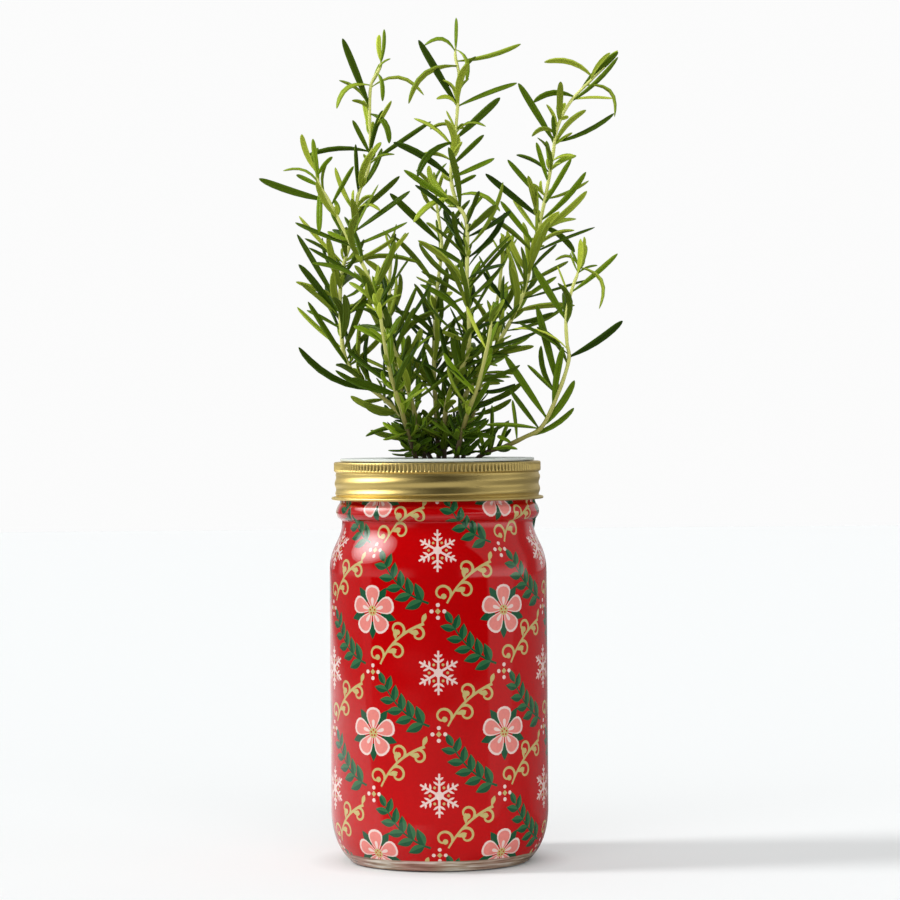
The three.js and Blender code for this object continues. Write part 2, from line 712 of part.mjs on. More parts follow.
// A leaf runs from the stem to its tip and bulges to one side halfway. Its upper face looks
// the way of face, turned about the leaf by a twist.
function leafOf(stem, distance, run, bulge, face, twist) {
  const edge = face.clone().cross(run).normalize().applyAxisAngle(run.clone().normalize(), twist);
  const foot = stemAt(stem, distance).place;
  const pointAt = (t) => foot.clone().addScaledVector(run, t).addScaledVector(bulge, t - t * t);
  const under = (t) => {
    const along = run.clone().addScaledVector(bulge, 1 - 2 * t);
    return edge.clone().cross(along).normalize();
  };
  const length = run.length();
  const half = LEAF_HALF_WIDTH * mix(LEAF_SLIM_SHARE, 1, Math.min(1, length / LEAF_FULL_LENGTH));
  const base = stemRadius(stem, distance) * LEAF_FOOT_SHARE;
  return { distance, run, pointAt, under, edge, length, half, base };
}

// A narrow foot inside the stem, a wide middle and a tip.
function leafSolid(leaf) {
  const rings = [0, LEAF_WIDEST_SHARE].map((t) => {
    const middle = leaf.pointAt(t);
    const half = t > 0 ? leaf.half : leaf.base;
    const keel = Math.min(LEAF_THICKNESS, half);
    return [
      middle.clone().addScaledVector(leaf.edge, -half),
      middle.clone().addScaledVector(leaf.under(t), keel),
      middle.clone().addScaledVector(leaf.edge, half),
    ];
  });
  rings.push([leaf.pointAt(1)]);
  return solidOf(loft(rings));
}

// Balls along a line that stand for the space it takes. From some distance on they are free.
function spaceOf(pointAt, radiusAt, length, owner, freeFrom) {
  const steps = Math.ceil(length / BALL_SPACING);
  const balls = [];
  for (let k = 0; k <= steps; k++) {
    const t = k / steps;
    balls.push({ place: pointAt(t), radius: radiusAt(t), owner, free: t * length >= freeFrom });
  }
  return balls;
}

// True if the balls keep clear of the lid and of every other sprig, and the free ones of their own.
function isClear(balls, taken) {
  return balls.every((ball) => {
    if (ball.place.z - ball.radius < LID_TOP_Z + LEAF_LID_GAP) return false;
    return taken.every((other) => {
      const same = other.owner === ball.owner;
      if (same && !(ball.free && other.free)) return true;
      const least = ball.radius + other.radius + (same ? LEAF_SELF_GAP : LEAF_GAP);
      return ball.place.distanceToSquared(other.place) > least * least;
    });
  });
}

// Places a leaf where it has room. It is turned about the stem and cut back until it has some,
// and left out if it never does.
function placeLeaf(leaves, taken, owner, make) {
  for (let attempt = 0; attempt < LEAF_ATTEMPTS; attempt++) {
    const turn = ATTEMPT_TURN_ANGLE * Math.ceil(attempt / 2) * (attempt % 2 ? 1 : -1);
    const leaf = make(turn, 1 - ATTEMPT_CUT_SHARE * attempt);
    const balls = spaceOf(leaf.pointAt, () => leaf.half, leaf.length, owner, LEAF_FREE_DISTANCE);
    if (!isClear(balls, taken)) continue;
    leaves.push(leaf);
    taken.push(...balls);
    return;
  }
}

// The leaves that stand out.
function addReaches(sprig, order, stem, leaves, taken) {
  sprig.reaches.forEach(([height, x, y, z, arch], k) => {
    const distance = distanceAt(stem, LID_TOP_Z + height * GROWTH);
    const whole = grown(x, y, z).sub(stemAt(stem, distance).place);
    const twist = vary(REACH_TWIST_ANGLE, order * REACH_SEEDS + k);
    placeLeaf(leaves, taken, order, (turn, cut) => {
      const run = whole.clone().applyAxisAngle(UP, turn).multiplyScalar(cut);
      const face = UP.clone().projectOnPlane(run.clone().normalize()).normalize();
      const bulge = face.clone().multiplyScalar(arch * run.length());
      return leafOf(stem, distance, run, bulge, face, twist);
    });
  });
}

// Opposite pairs of leaves, each pair a quarter turn from the last. A leaf that stands out
// takes the place of one beside it.
function addPairs(sprig, order, stem, leaves, taken) {
  const first = distanceAt(stem, LID_TOP_Z + FIRST_PAIR_HEIGHT);
  const pairs = Math.floor((stem.length - first) / LEAF_SPACING);
  const reaches = [...leaves];
  for (let pair = 0; pair <= pairs; pair++) {
    const distance = Math.min(stem.length - LAST_PAIR_DROP, first + pair * LEAF_SPACING);
    const height = pair / pairs;
    const { along } = stemAt(stem, distance);
    const { side, back } = acrossStem(along);
    for (let hand = 0; hand < 2; hand++) {
      const seed = order * SPRIG_SEEDS + pair * PAIR_SEEDS + hand * HAND_SEEDS + FIRST_SEED;
      const azimuth = Math.PI * (pair / 2 + hand) + vary(PAIR_SWAY_ANGLE, seed);
      const rise = pair === pairs ? PAIR_PITCH_ANGLE.tip : 1;
      const spread = 1 + vary(PAIR_PITCH_ANGLE.spread, seed + 1);
      const pitch = rise * mix(PAIR_PITCH_ANGLE.low, PAIR_PITCH_ANGLE.high, height) * spread;
      const mature = Math.min(1, height * PAIR_LENGTH_SHARE.growth);
      const budding = Math.max(0, 1 - (1 - height) * PAIR_LENGTH_SHARE.growth);
      const share =
        mix(PAIR_LENGTH_SHARE.low, 1, mature) * mix(1, PAIR_LENGTH_SHARE.young, budding);
      const spare = 1 + vary(PAIR_LENGTH_SHARE.spread, seed + 4);
      const length = sprig.leaf * GROWTH * share * spare;
      const hang = mix(PAIR_DROOP_SHARE.least, PAIR_DROOP_SHARE.most, scatter(seed + 2));
      const droop = hang + PAIR_DROOP_SHARE.tip * height * height;
      const twist = vary(PAIR_TWIST_ANGLE, seed + 3);
      const outAt = (angle) =>
        side.clone().multiplyScalar(Math.cos(angle)).addScaledVector(back, Math.sin(angle));
      const beside = reaches.some(
        (leaf) =>
          Math.abs(leaf.distance - distance) < LEAF_SPACING * BESIDE_SHARE.distance &&
          leaf.run.dot(outAt(azimuth)) > BESIDE_SHARE.side * leaf.length,
      );
      if (beside) continue;
      placeLeaf(leaves, taken, order, (turn, cut) => {
        const out = outAt(azimuth + turn);
        const start = along
          .clone()
          .multiplyScalar(Math.cos(pitch))
          .addScaledVector(out, Math.sin(pitch));
        const bend = out
          .multiplyScalar(Math.cos(pitch))
          .addScaledVector(along, -Math.sin(pitch));
        const run = start
          .clone()
          .addScaledVector(bend, droop)
          .multiplyScalar(length * cut);
        const bulge = bend.clone().multiplyScalar(-droop * length * cut);
        return leafOf(stem, distance, run, bulge, bend.negate(), twist);
      });
    }
  }
}

function growSprigs() {
  const stems = SPRIGS.map(stemLine);
  const leaves = SPRIGS.map(() => []);
  const taken = stems.flatMap((stem, order) =>
    spaceOf(
      (t) => stemAt(stem, t * stem.length).place,
      (t) => stemRadius(stem, t * stem.length),
      stem.length,
      order,
      0,
    ),
  );
  SPRIGS.forEach((sprig, k) => addReaches(sprig, k, stems[k], leaves[k], taken));
  SPRIGS.forEach((sprig, k) => addPairs(sprig, k, stems[k], leaves[k], taken));
  return SPRIGS.map((sprig, order) => {
    const stem = stems[order];
    const rings = stemRings(stem, stem.line.length - 1, 0);
    rings.push([stem.line.at(-1)]);
    const parts = [solidOf(loft(rings)), ...leaves[order].map(leafSolid)];
    const solid = parts.reduce((whole, part) => whole.add(part));
    const buried = stem.line.findIndex((point) => point.z > LID_TOP_Z);
    const rootHole = loft(stemRings(stem, buried + 1, ROOT_CLEARANCE));
    return { name: sprig.name, geometry: geometryOf(solid), rootHole };
  });
}

// Materials, from the photograph
function material(color, roughness, metalness, opacity = 1) {
  return new THREE.MeshStandardMaterial({
    color,
    roughness,
    metalness,
    opacity,
    transparent: opacity < 1,
  });
}

const GLASS = material(0xdfe8e4, 0.05, 0, 0.35);
const PRINT = material(0xc01418, 0.18, 0);
const GOLD = material(0xc2a45c, 0.32, 1);
const WHITE_PLASTIC = material(0xe3e6e0, 0.45, 0);
const COIR = material(0x4a3020, 0.95, 0);
const FELT = material(0xe8e4d8, 0.95, 0);
const LEAF = material(0x35621c, 0.45, 0);

function piece(name, geometry, look) {
  const mesh = new THREE.Mesh(geometry, look);
  mesh.name = name;
  return mesh;
}

const sprigs = growSprigs();

const jar = new THREE.Group();
jar.add(piece("glass_jar", glassJar(), GLASS));
jar.add(piece("printed_sleeve", printedSleeve(), PRINT));

const closure = new THREE.Group();
closure.add(piece("screw_band", screwBand(), GOLD));
closure.add(piece("lid_disc", lidDisc(), WHITE_PLASTIC));

const planting = new THREE.Group();
planting.add(piece("net_pot", netPot(), WHITE_PLASTIC));
planting.add(piece("grow_medium", growMedium(sprigs), COIR));
planting.add(piece("wick", wickStrip(0), FELT));
for (const sprig of sprigs) planting.add(piece(sprig.name, sprig.geometry, LEAF));

const gardenJar = new THREE.Group();
gardenJar.add(jar, closure, planting);

export default gardenJar;
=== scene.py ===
import math

import bmesh
import bpy
import numpy as np
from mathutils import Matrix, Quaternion, Vector, noise
from mathutils.geometry import delaunay_2d_cdt


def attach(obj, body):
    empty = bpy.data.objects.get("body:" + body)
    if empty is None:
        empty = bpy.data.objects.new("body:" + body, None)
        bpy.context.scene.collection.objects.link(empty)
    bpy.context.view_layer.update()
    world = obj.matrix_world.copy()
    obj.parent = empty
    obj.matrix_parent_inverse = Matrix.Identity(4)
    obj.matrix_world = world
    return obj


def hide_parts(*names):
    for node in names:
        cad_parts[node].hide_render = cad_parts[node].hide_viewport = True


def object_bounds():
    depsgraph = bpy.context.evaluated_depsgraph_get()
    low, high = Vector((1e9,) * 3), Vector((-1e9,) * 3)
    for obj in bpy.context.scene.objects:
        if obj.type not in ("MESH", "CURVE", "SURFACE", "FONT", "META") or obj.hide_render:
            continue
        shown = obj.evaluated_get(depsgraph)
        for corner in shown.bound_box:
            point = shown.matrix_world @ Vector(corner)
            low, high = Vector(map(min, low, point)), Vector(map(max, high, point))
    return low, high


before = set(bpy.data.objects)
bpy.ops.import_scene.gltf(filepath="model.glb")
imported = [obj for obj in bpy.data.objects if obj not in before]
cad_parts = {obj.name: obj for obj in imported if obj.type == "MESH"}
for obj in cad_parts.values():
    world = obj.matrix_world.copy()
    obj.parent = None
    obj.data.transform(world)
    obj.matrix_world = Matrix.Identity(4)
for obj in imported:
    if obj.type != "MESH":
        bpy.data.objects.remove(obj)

# The herb garden jar: glass, printed sleeve, gold screw band, lid disc, net pot and rosemary.
# Lengths are in millimetres until a mesh is made, and the frame is the solids' own.
MM = 0.001
CAD_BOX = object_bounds()

# Glass jar
JAR_HEIGHT = 166.6
BODY_RADIUS = 45.0
GLASS_WALL = 3.0
NECK_RADIUS = 40.3
MOUTH_RADIUS = 37.4
BEAD_RADIUS = 42.0
BEAD_Z = 146.4
BEAD_TOP_Z = 150.1
THROAT_RADIUS = 39.5
THROAT_TOP_Z = 143.6
THROAT_Z = 142.4
SHOULDER_Z = 120.6
HEEL_HEIGHT = 21.0
FOOT_RADIUS = 36.4
FOOT_WIDTH = 5.0
PUSH_UP = 2.0
FLOOR_Z = 6.5
FLOOR_ROUND = 9.0
LIP_ROUND = 1.2
THREAD_PITCH = 5.08
THREAD_TURNS = 1.1
THREAD_DEPTH = 1.3
THREAD_HALF_WIDTH = 1.2
THREAD_Z = 157.01

# Printed sleeve
SLEEVE_GAP = 0.3
SLEEVE_FILM = 0.3
SLEEVE_FOOT = 4.8
HEM_FOOT = 0.5
SLEEVE_TOP = 152.0
SEAM_WIDTH = 6.0
SEAM_RISE = 0.1

# Screw band
BAND_TOP_Z = 167.4
BAND_FOOT_Z = 151.6
BAND_SHEET = 0.5
BAND_OPENING = 38.6
BAND_INNER = 42.1
BAND_WALL = 42.55
BAND_BULGE = 0.6
BULGE_Z = 155.8
KNURL_RADIUS = 43.4
KNURL_HEIGHT = 3.8
KNURL_DEPTH = 0.45
KNURL_COUNT = 152
KNURL_FADE = 0.6
KNURL_SLIMNESS = 2.5
BULGE_FADE = 1.5
SKIRT_STEP = 0.7
TOP_ROUND = (0.9, 0.6)
CURL_RADIUS = 0.6
CURL_EDGE = 44.5
RIDGE_REACH = 1.1
RIDGE_HALF_WIDTH = 1.2

# Lid disc, net pot, medium and wick
LID_TOP_Z = 168.8
LID_SEAT_Z = 167.7
LID_RADIUS = 40.7
LID_PLUG_Z = 164.6
LID_PLUG_RADIUS = 36.95
POT_HOLE = 25.0
POT_RECESS = 27.9
POT_SHELF_Z = 167.3
POT_TOP_RADIUS = 24.6
POT_FOOT_RADIUS = 18.0
POT_FLANGE_RADIUS = 27.5
POT_FLANGE = 1.2
POT_FOOT_Z = 113.8
POT_WALL = 1.4
POT_FLOOR = 1.6
SLOT_COUNT = 12
SLOT_WIDTH = 3.2
SLOT_FOOT_Z = 118.8
SLOT_HEAD_Z = 156.8
DRAIN_COUNT = 6
DRAIN_RADIUS = 1.8
DRAIN_CIRCLE = 12.0
SLOT_MARGIN = 5
FLOOR_MARGIN = 3
WICK_HOLE_GAP = 0.4
MEDIUM_TOP_Z = 166.4
MEDIUM_FOOT_Z = 115.8
MEDIUM_CROWN = 1.4
MEDIUM_GAP = 0.4
MEDIUM_ROUGHNESS = 1.1
WICK_WIDTH = 12.0
WICK_THICKNESS = 2.4
WICK_SHOWN_THICKNESS = 2.0
WICK_ROUND = 0.5
WICK_FOOT_Z = 12.5
WICK_TOP_Z = 137.8
WICK_ROWS = 90
WICK_FUZZ = 0.1

# Columns around each turned piece, and the angles in degrees from which edges stay sharp
GLASS_COLUMNS = 160
LID_COLUMNS = 128
POT_COLUMNS = 120
MEDIUM_COLUMNS = 72
KNURL_COLUMNS = 8
CREASE = 35
BAND_CREASE = 50
MEDIUM_CREASE = 60

# Camera, in the photograph's frame of 900 by 900 pixels
FRAME_WIDTH = 378.0
SENSOR_WIDTH = 36.0
CAMERA_DISTANCE = 1350.0
CAMERA_HEIGHT = 186.0
CAMERA_SIDE = 5.4
AIM_HEIGHT = 172.1
CAMERA_ROLL = -0.43


# Meshes

def add_object(name, points, faces, looks, picks=None):
    """A smooth mesh object from points in millimetres. picks gives each face's material."""
    mesh = bpy.data.meshes.new(name)
    mesh.from_pydata((np.array(points) * MM).tolist(), [], faces)
    for look in looks:
        mesh.materials.append(look)
    if picks is not None:
        mesh.polygons.foreach_set("material_index", picks)
    mesh.polygons.foreach_set("use_smooth", [True] * len(faces))
    mesh.update()
    obj = bpy.data.objects.new(name, mesh)
    bpy.context.collection.objects.link(obj)
    return obj


def seal(obj, crease=CREASE):
    """Joins points that coincide and turns the faces outwards.
    Edges over crease degrees stay sharp."""
    work = bmesh.new()
    work.from_mesh(obj.data)
    bmesh.ops.remove_doubles(work, verts=work.verts, dist=1e-7)
    bmesh.ops.dissolve_degenerate(work, edges=work.edges, dist=1e-8)
    bmesh.ops.recalc_face_normals(work, faces=work.faces)
    work.to_mesh(obj.data)
    work.free()
    obj.data.set_sharp_from_angle(angle=math.radians(crease))
    return obj


def bezier(steps, *points):
    """Points of a curve with these control points, the first one left out."""
    line = []
    for k in range(1, steps + 1):
        t = k / steps
        level = [Vector(p) for p in points]
        while len(level) > 1:
            level = [a.lerp(b, t) for a, b in zip(level, level[1:])]
        line.append(tuple(level[0]))
    return line


def rounded(corners, steps=4):
    """A profile whose corners (radius, height, rounding) are softened over that length."""
    line = []
    for k, (r, z, soft) in enumerate(corners):
        here = Vector((r, z))
        if not soft:
            line.append((r, z))
            continue
        before = Vector(corners[k - 1][:2])
        after = Vector(corners[(k + 1) % len(corners)][:2])
        start = here + (before - here).normalized() * soft
        end = here + (after - here).normalized() * soft
        line += [tuple(start), *bezier(steps, start, here, end)]
    return line


def spaced(line, step):
    """The same line with its long stretches divided."""
    dense = [line[0]]
    for a, b in zip(line, line[1:]):
        count = max(1, round(math.dist(a, b) / step))
        dense += [tuple(Vector(a).lerp(Vector(b), k / count)) for k in range(1, count + 1)]
    return dense


def revolve(profile, columns, shift=None):
    """Points and faces of a profile of (radius, height) turned about Z.
    shift gives how far a point at (angle, radius, height) moves outwards."""
    rows = len(profile)
    points = []
    for j in range(columns):
        angle = 2 * math.pi * j / columns
        for r, z in profile:
            reach = r + (shift(angle, r, z) if shift else 0)
            points.append((reach * math.cos(angle), reach * math.sin(angle), z))
    faces = []
    for j in range(columns):
        k = (j + 1) % columns
        for i in range(rows - 1):
            faces.append((j * rows + i, k * rows + i, k * rows + i + 1, j * rows + i + 1))
    return points, faces


def skin(rings, sides):
    """Faces of a closed tube of so many rings of points, with both its ends capped."""
    faces = []
    for k in range(rings - 1):
        for j in range(sides):
            n = (j + 1) % sides
            faces.append((k * sides + j, k * sides + n, (k + 1) * sides + n, (k + 1) * sides + j))
    faces.append(tuple(reversed(range(sides))))
    faces.append(tuple(range((rings - 1) * sides, rings * sides)))
    return faces


def join(points, faces, more, rings):
    """Adds another mesh's points and faces to these."""
    first = len(points)
    points.extend(more)
    faces.extend(tuple(i + first for i in ring) for ring in rings)


def ease(low, high, value):
    """Smooth step from 0 at low to 1 at high."""
    t = min(1, max(0, (value - low) / (high - low)))
    return t * t * (3 - 2 * t)


def helix_bump(angle, z, start_z, turns, half_width):
    """Height from 0 to 1 of a ridge that winds up from start_z above +X, faded at both ends."""
    best = 0
    for lap in range(math.ceil(turns)):
        run = angle / (2 * math.pi) + lap
        if run > turns:
            continue
        off = abs(z - start_z - run * THREAD_PITCH) / half_width
        fade = ease(0, 0.1, run) * ease(0, 0.1, turns - run)
        best = max(best, fade * (1 - ease(0.25, 1, off)))
    return best


# Materials

def put(node, socket, value):
    """Sets a node's input to a value, or links it to another node's output."""
    if isinstance(value, bpy.types.NodeSocket):
        node.id_data.links.new(value, node.inputs[socket])
    else:
        node.inputs[socket].default_value = value


def add_node(tree, kind, **inputs):
    """A new shader node with these inputs."""
    node = tree.nodes.new(f"ShaderNode{kind}")
    for socket, value in inputs.items():
        put(node, socket.replace("_", " "), value)
    return node


def shader(name, **inputs):
    """A new material, its node tree and its principled node with these inputs."""
    look = bpy.data.materials.new(name)
    look.use_nodes = True
    bsdf = look.node_tree.nodes["Principled BSDF"]
    for socket, value in inputs.items():
        put(bsdf, socket.replace("_", " "), value)
    return look, look.node_tree, bsdf


def grain(tree, scale, detail=3.0, stretch=(1, 1, 1)):
    """A noise of so many cycles a metre, in the object's own space."""
    place = add_node(tree, "TexCoord").outputs["Object"]
    place = add_node(tree, "Mapping", Scale=stretch, Vector=place).outputs["Vector"]
    return add_node(tree, "TexNoise", Scale=scale, Detail=detail, Vector=place).outputs["Fac"]


def ramp(tree, value, *stops):
    """Colours (place, red, green, blue) along a value."""
    node = add_node(tree, "ValToRGB", Fac=value)
    while len(node.color_ramp.elements) < len(stops):
        node.color_ramp.elements.new(0.5)
    for element, (place, *colour) in zip(node.color_ramp.elements, stops):
        element.position = place
        element.color = (*colour, 1)
    return node.outputs["Color"]


def between(tree, value, low, high):
    """A value from 0 to 1 spread from low to high."""
    return add_node(tree, "MapRange", Value=value, To_Min=low, To_Max=high).outputs["Result"]


def mixed(tree, share, first, second):
    """Two colours mixed by a share."""
    node = add_node(tree, "Mix")
    node.data_type = "RGBA"
    for socket, value in (("Factor", share), ("A", first), ("B", second)):
        put(node, socket, value)
    return node.outputs["Result"]


def blend(tree, share, first, second):
    """Two shaders mixed by a share."""
    node = add_node(tree, "MixShader", Fac=share)
    put(node, 1, first)
    put(node, 2, second)
    return node.outputs["Shader"]


def bump(tree, bsdf, value, depth, socket="Normal"):
    """Relief of that depth in metres."""
    put(bsdf, socket, add_node(tree, "Bump", Distance=depth, Height=value).outputs["Normal"])


def attribute(tree, name):
    """A value that the mesh carries."""
    node = add_node(tree, "Attribute")
    node.attribute_name = name
    return node.outputs["Fac"]


def glass_look():
    """Clear glass with a faint swell, which lets light through to what it covers."""
    look, tree, bsdf = shader("clear_glass", Base_Color=(0.95, 0.985, 0.965, 1), Roughness=0.02,
                              IOR=1.5, Transmission_Weight=1.0)
    bump(tree, bsdf, grain(tree, 90), 0.0001)
    clear = add_node(tree, "BsdfTransparent").outputs["BSDF"]
    shadow = add_node(tree, "LightPath").outputs["Is Shadow Ray"]
    surface = blend(tree, shadow, bsdf.outputs["BSDF"], clear)
    put(tree.nodes["Material Output"], "Surface", surface)
    return look


def ink_look(name, colour):
    """A printed film: flat colour with a little mottle under a clear gloss that is not quite even.
    Its hem is opaque and paints the look of the glass foot: the red seen through the glass, a
    painted reflection of the print and painted glints, in streaks around the jar."""
    look, tree, bsdf = shader(f"print_{name}", Roughness=0.6, Specular_IOR_Level=0.0,
                              Coat_Weight=1.0, Coat_Roughness=0.06)
    if name == "painted_glass_hem":
        # Painted glass foot: streaks from dark to pale, the palest as painted glints, rose as the
        # red seen through glass and olive as a painted reflection of the print.
        streaks_and_glints = grain(tree, 330, 3.0, (0.2, 0.2, 3.0))
        rose_painted_glass = ramp(tree, streaks_and_glints, (0.34, 0.2, 0.1, 0.07), (0.48, *colour),
                    (0.58, 0.45, 0.31, 0.26), (0.67, 0.62, 0.53, 0.47))
        olive_painted_reflection = ramp(tree, streaks_and_glints, (0.34, 0.14, 0.1, 0.06), (0.48, 0.29, 0.22, 0.14),
                     (0.58, 0.42, 0.36, 0.27), (0.67, 0.66, 0.64, 0.56))
        patches = between(tree, grain(tree, 26, 1.0, (1, 1, 0.1)), -2.0, 3.0)
        shown = mixed(tree, patches, rose_painted_glass, olive_painted_reflection)
    else:
        shown = ramp(tree, grain(tree, 900), (0.3, *[0.9 * c for c in colour]), (0.7, *colour))
    put(bsdf, "Base Color", shown)
    bump(tree, bsdf, grain(tree, 35, 1.0), 0.0002, socket="Coat Normal")
    return look


def grained_look(name, dark, light, mottle, relief, depth, shine=None, **inputs):
    """A material whose colour goes from dark to light by one noise, with relief from another.
    A shine (scale, low, high) spreads its roughness by a third."""
    look, tree, bsdf = shader(name, **inputs)
    put(bsdf, "Base Color", ramp(tree, grain(tree, *mottle), dark, light))
    if shine:
        scale, low, high = shine
        put(bsdf, "Roughness", between(tree, grain(tree, scale), low, high))
    bump(tree, bsdf, grain(tree, *relief), depth)
    return look


def gold_look():
    fine = (2500, 2.0, (1, 1, 2.5))
    return grained_look("gold_lacquer", (0.25, 0.64, 0.485, 0.165), (0.75, 0.72, 0.555, 0.205),
                        fine, fine, 0.000006, (120, 0.4, 0.47), Metallic=1.0)


def plastic_look():
    return grained_look("white_plastic", (0.3, 0.61, 0.66, 0.62), (0.7, 0.67, 0.72, 0.69),
                        (60,), (3000,), 0.00002, (700, 0.35, 0.5),
                        Subsurface_Weight=0.1, Subsurface_Radius=(0.002,) * 3)


def coir_look():
    return grained_look("coir", (0.3, 0.018, 0.009, 0.004), (0.7, 0.12, 0.06, 0.027),
                        (700, 6.0), (1200, 6.0), 0.0006, Roughness=0.95)


def felt_look():
    return grained_look("felt", (0.3, 0.62, 0.58, 0.5), (0.7, 0.8, 0.77, 0.7),
                        (1500, 5.0), (2500, 6.0), 0.0004, Roughness=0.95, Sheen_Weight=0.4)


def leaf_look():
    """Dark upper side, pale under side and light margin, brighter where the leaf is young.
    The margin's paleness is partly the rolled edge's own colour and partly painted sheen.
    """
    look, tree, bsdf = shader("rosemary_leaf", Specular_IOR_Level=0.08)
    age = attribute(tree, "tone")
    under = attribute(tree, "under")
    upper = ramp(tree, age, (0.0, 0.013, 0.034, 0.0003), (0.5, 0.15, 0.25, 0.005),
                 (1.0, 0.54, 0.64, 0.06))
    lower = ramp(tree, age, (0.0, 0.07, 0.12, 0.006), (1.0, 0.52, 0.62, 0.06))
    # Paler margins: partly rolled edges, partly a painted highlight along the leaf's edges.
    margin_and_sheen = ramp(tree, age, (0.0, 0.05, 0.11, 0.006), (0.3, 0.16, 0.26, 0.02),
                  (1.0, 0.6, 0.68, 0.12))
    sides = mixed(tree, under, upper, lower)
    put(bsdf, "Base Color", mixed(tree, attribute(tree, "rim"), sides, margin_and_sheen))
    put(bsdf, "Roughness", between(tree, under, 0.36, 0.65))
    bump(tree, bsdf, grain(tree, 700, 3.0), 0.00002)
    return look


def stem_look():
    """Woody brown at the foot, yellow-green above."""
    look, tree, bsdf = shader("rosemary_stem", Roughness=0.6)
    colour = ramp(tree, attribute(tree, "tone"), (0.0, 0.03, 0.017, 0.008),
                  (0.1, 0.07, 0.045, 0.015), (0.3, 0.3, 0.28, 0.06), (1.0, 0.68, 0.71, 0.2))
    put(bsdf, "Base Color", colour)
    bump(tree, bsdf, grain(tree, 900, 5.0, (1, 1, 0.25)), 0.0001)
    return look


# Camera, floor and light

def place_camera():
    camera = bpy.data.objects.new("camera", bpy.data.cameras.new("camera"))
    bpy.context.collection.objects.link(camera)
    camera.data.sensor_width = SENSOR_WIDTH
    camera.data.lens = SENSOR_WIDTH * CAMERA_DISTANCE / FRAME_WIDTH
    camera.location = Vector((CAMERA_SIDE, -CAMERA_DISTANCE, CAMERA_HEIGHT)) * MM
    aim = Vector((0, CAMERA_DISTANCE, AIM_HEIGHT - CAMERA_HEIGHT))
    turn = aim.to_track_quat("-Z", "Y") @ Quaternion((0, 0, 1), math.radians(CAMERA_ROLL))
    camera.rotation_mode = "QUATERNION"
    camera.rotation_quaternion = turn
    bpy.context.scene.camera = camera


FLOOR_COLOUR = (0.925, 0.942, 0.945)
FLOOR_PLAIN = 0.26
FLOOR_DROP = 0.2
FLOOR_FRONT = 122
FLOOR_BACK = 4000
FLOOR_SIDE = 3000
CONTACT_REACH = 15.0
# What glossy surfaces see of the floor: a dark table (place, gloss) with painted light to the left
# of the jar
TABLE_GLOSS = 0.25
LIT_TABLE_SPAN = 1000.0
LIT_TABLE = [(0.0, TABLE_GLOSS), (0.35, 1.0), (0.92, 1.0), (1.0, TABLE_GLOSS)]


def lay_floor():
    """A pale floor that the camera sees partly unlit, with a soft painted shade at the jar's foot,
    and in which glossy surfaces see a dark table with painted light to the left of the jar.
    """
    look, tree, bsdf = shader("floor", Roughness=1.0, Specular_IOR_Level=0.0)
    path = add_node(tree, "LightPath")
    position = add_node(tree, "NewGeometry").outputs["Position"]
    place = add_node(tree, "SeparateXYZ", Vector=position)
    # Painted reflection: glossy rays see the floor dark, with a painted pool of light to the left
    # of the jar.
    left = add_node(tree, "MapRange", Value=place.outputs["X"], From_Min=-LIT_TABLE_SPAN * MM,
                    From_Max=0)
    stops = [(share, *[gloss] * 3) for share, gloss in LIT_TABLE]
    table = ramp(tree, left.outputs["Result"], *stops)
    colour = mixed(tree, path.outputs["Is Glossy Ray"], (*FLOOR_COLOUR, 1), table)
    put(bsdf, "Base Color", colour)
    # Painted shade: ambient occlusion darkens the floor's plain emission near the jar's foot.
    painted_contact_shade = add_node(tree, "AmbientOcclusion", Distance=CONTACT_REACH * MM).outputs["AO"]
    plain = add_node(tree, "Emission", Color=(*FLOOR_COLOUR, 1), Strength=painted_contact_shade)
    share = between(tree, path.outputs["Is Camera Ray"], 0, FLOOR_PLAIN)
    surface = blend(tree, share, bsdf.outputs["BSDF"], plain.outputs["Emission"])
    put(tree.nodes["Material Output"], "Surface", surface)
    corners = [(-FLOOR_SIDE, -FLOOR_FRONT), (FLOOR_SIDE, -FLOOR_FRONT), (FLOOR_SIDE, FLOOR_BACK),
               (-FLOOR_SIDE, FLOOR_BACK)]
    points = [(x, y, -FLOOR_DROP) for x, y in corners]
    floor = add_object("floor", points, [(0, 1, 2, 3)], [look])


# Lamps: an azimuth, 0 in front and 90 at the right, an elevation, a strength and a spread.
# Angles are in degrees.
SUNS = {
    "key": (-84, 36, 2.0, 14),
    "fill": (-6, 22, 1.55, 80),
    "side": (72, 6, 0.3, 40),
    "rear": (180, 42, 0.3, 100),
}
SOFTBOX_AZIMUTH = -89
SOFTBOX_ELEVATION = 34
SOFTBOX_DISTANCE = 1100
SOFTBOX_WIDTH = 1150
SOFTBOX_HEIGHT = 1000
SOFTBOX_GLOW = 14.0
SOFTBOX_STEPS = 7


def add_lamp(name, kind, azimuth, elevation, energy):
    """A lamp that shines at the jar, and the direction in which it stands."""
    lamp = bpy.data.objects.new(name, bpy.data.lights.new(name, kind))
    bpy.context.collection.objects.link(lamp)
    lamp.data.energy = energy
    a, e = math.radians(azimuth), math.radians(elevation)
    away = Vector((math.sin(a) * math.cos(e), -math.cos(a) * math.cos(e), math.sin(e)))
    lamp.rotation_mode = "QUATERNION"
    lamp.rotation_quaternion = (-away).to_track_quat("-Z", "Y")
    return lamp, away


def add_suns():
    """Even light with soft shadows, which leaves no mark in glossy surfaces."""
    for name, (azimuth, elevation, energy, spread) in SUNS.items():
        lamp, _ = add_lamp(name, "SUN", azimuth, elevation, energy)
        lamp.data.angle = math.radians(spread)
        lamp.visible_glossy = False


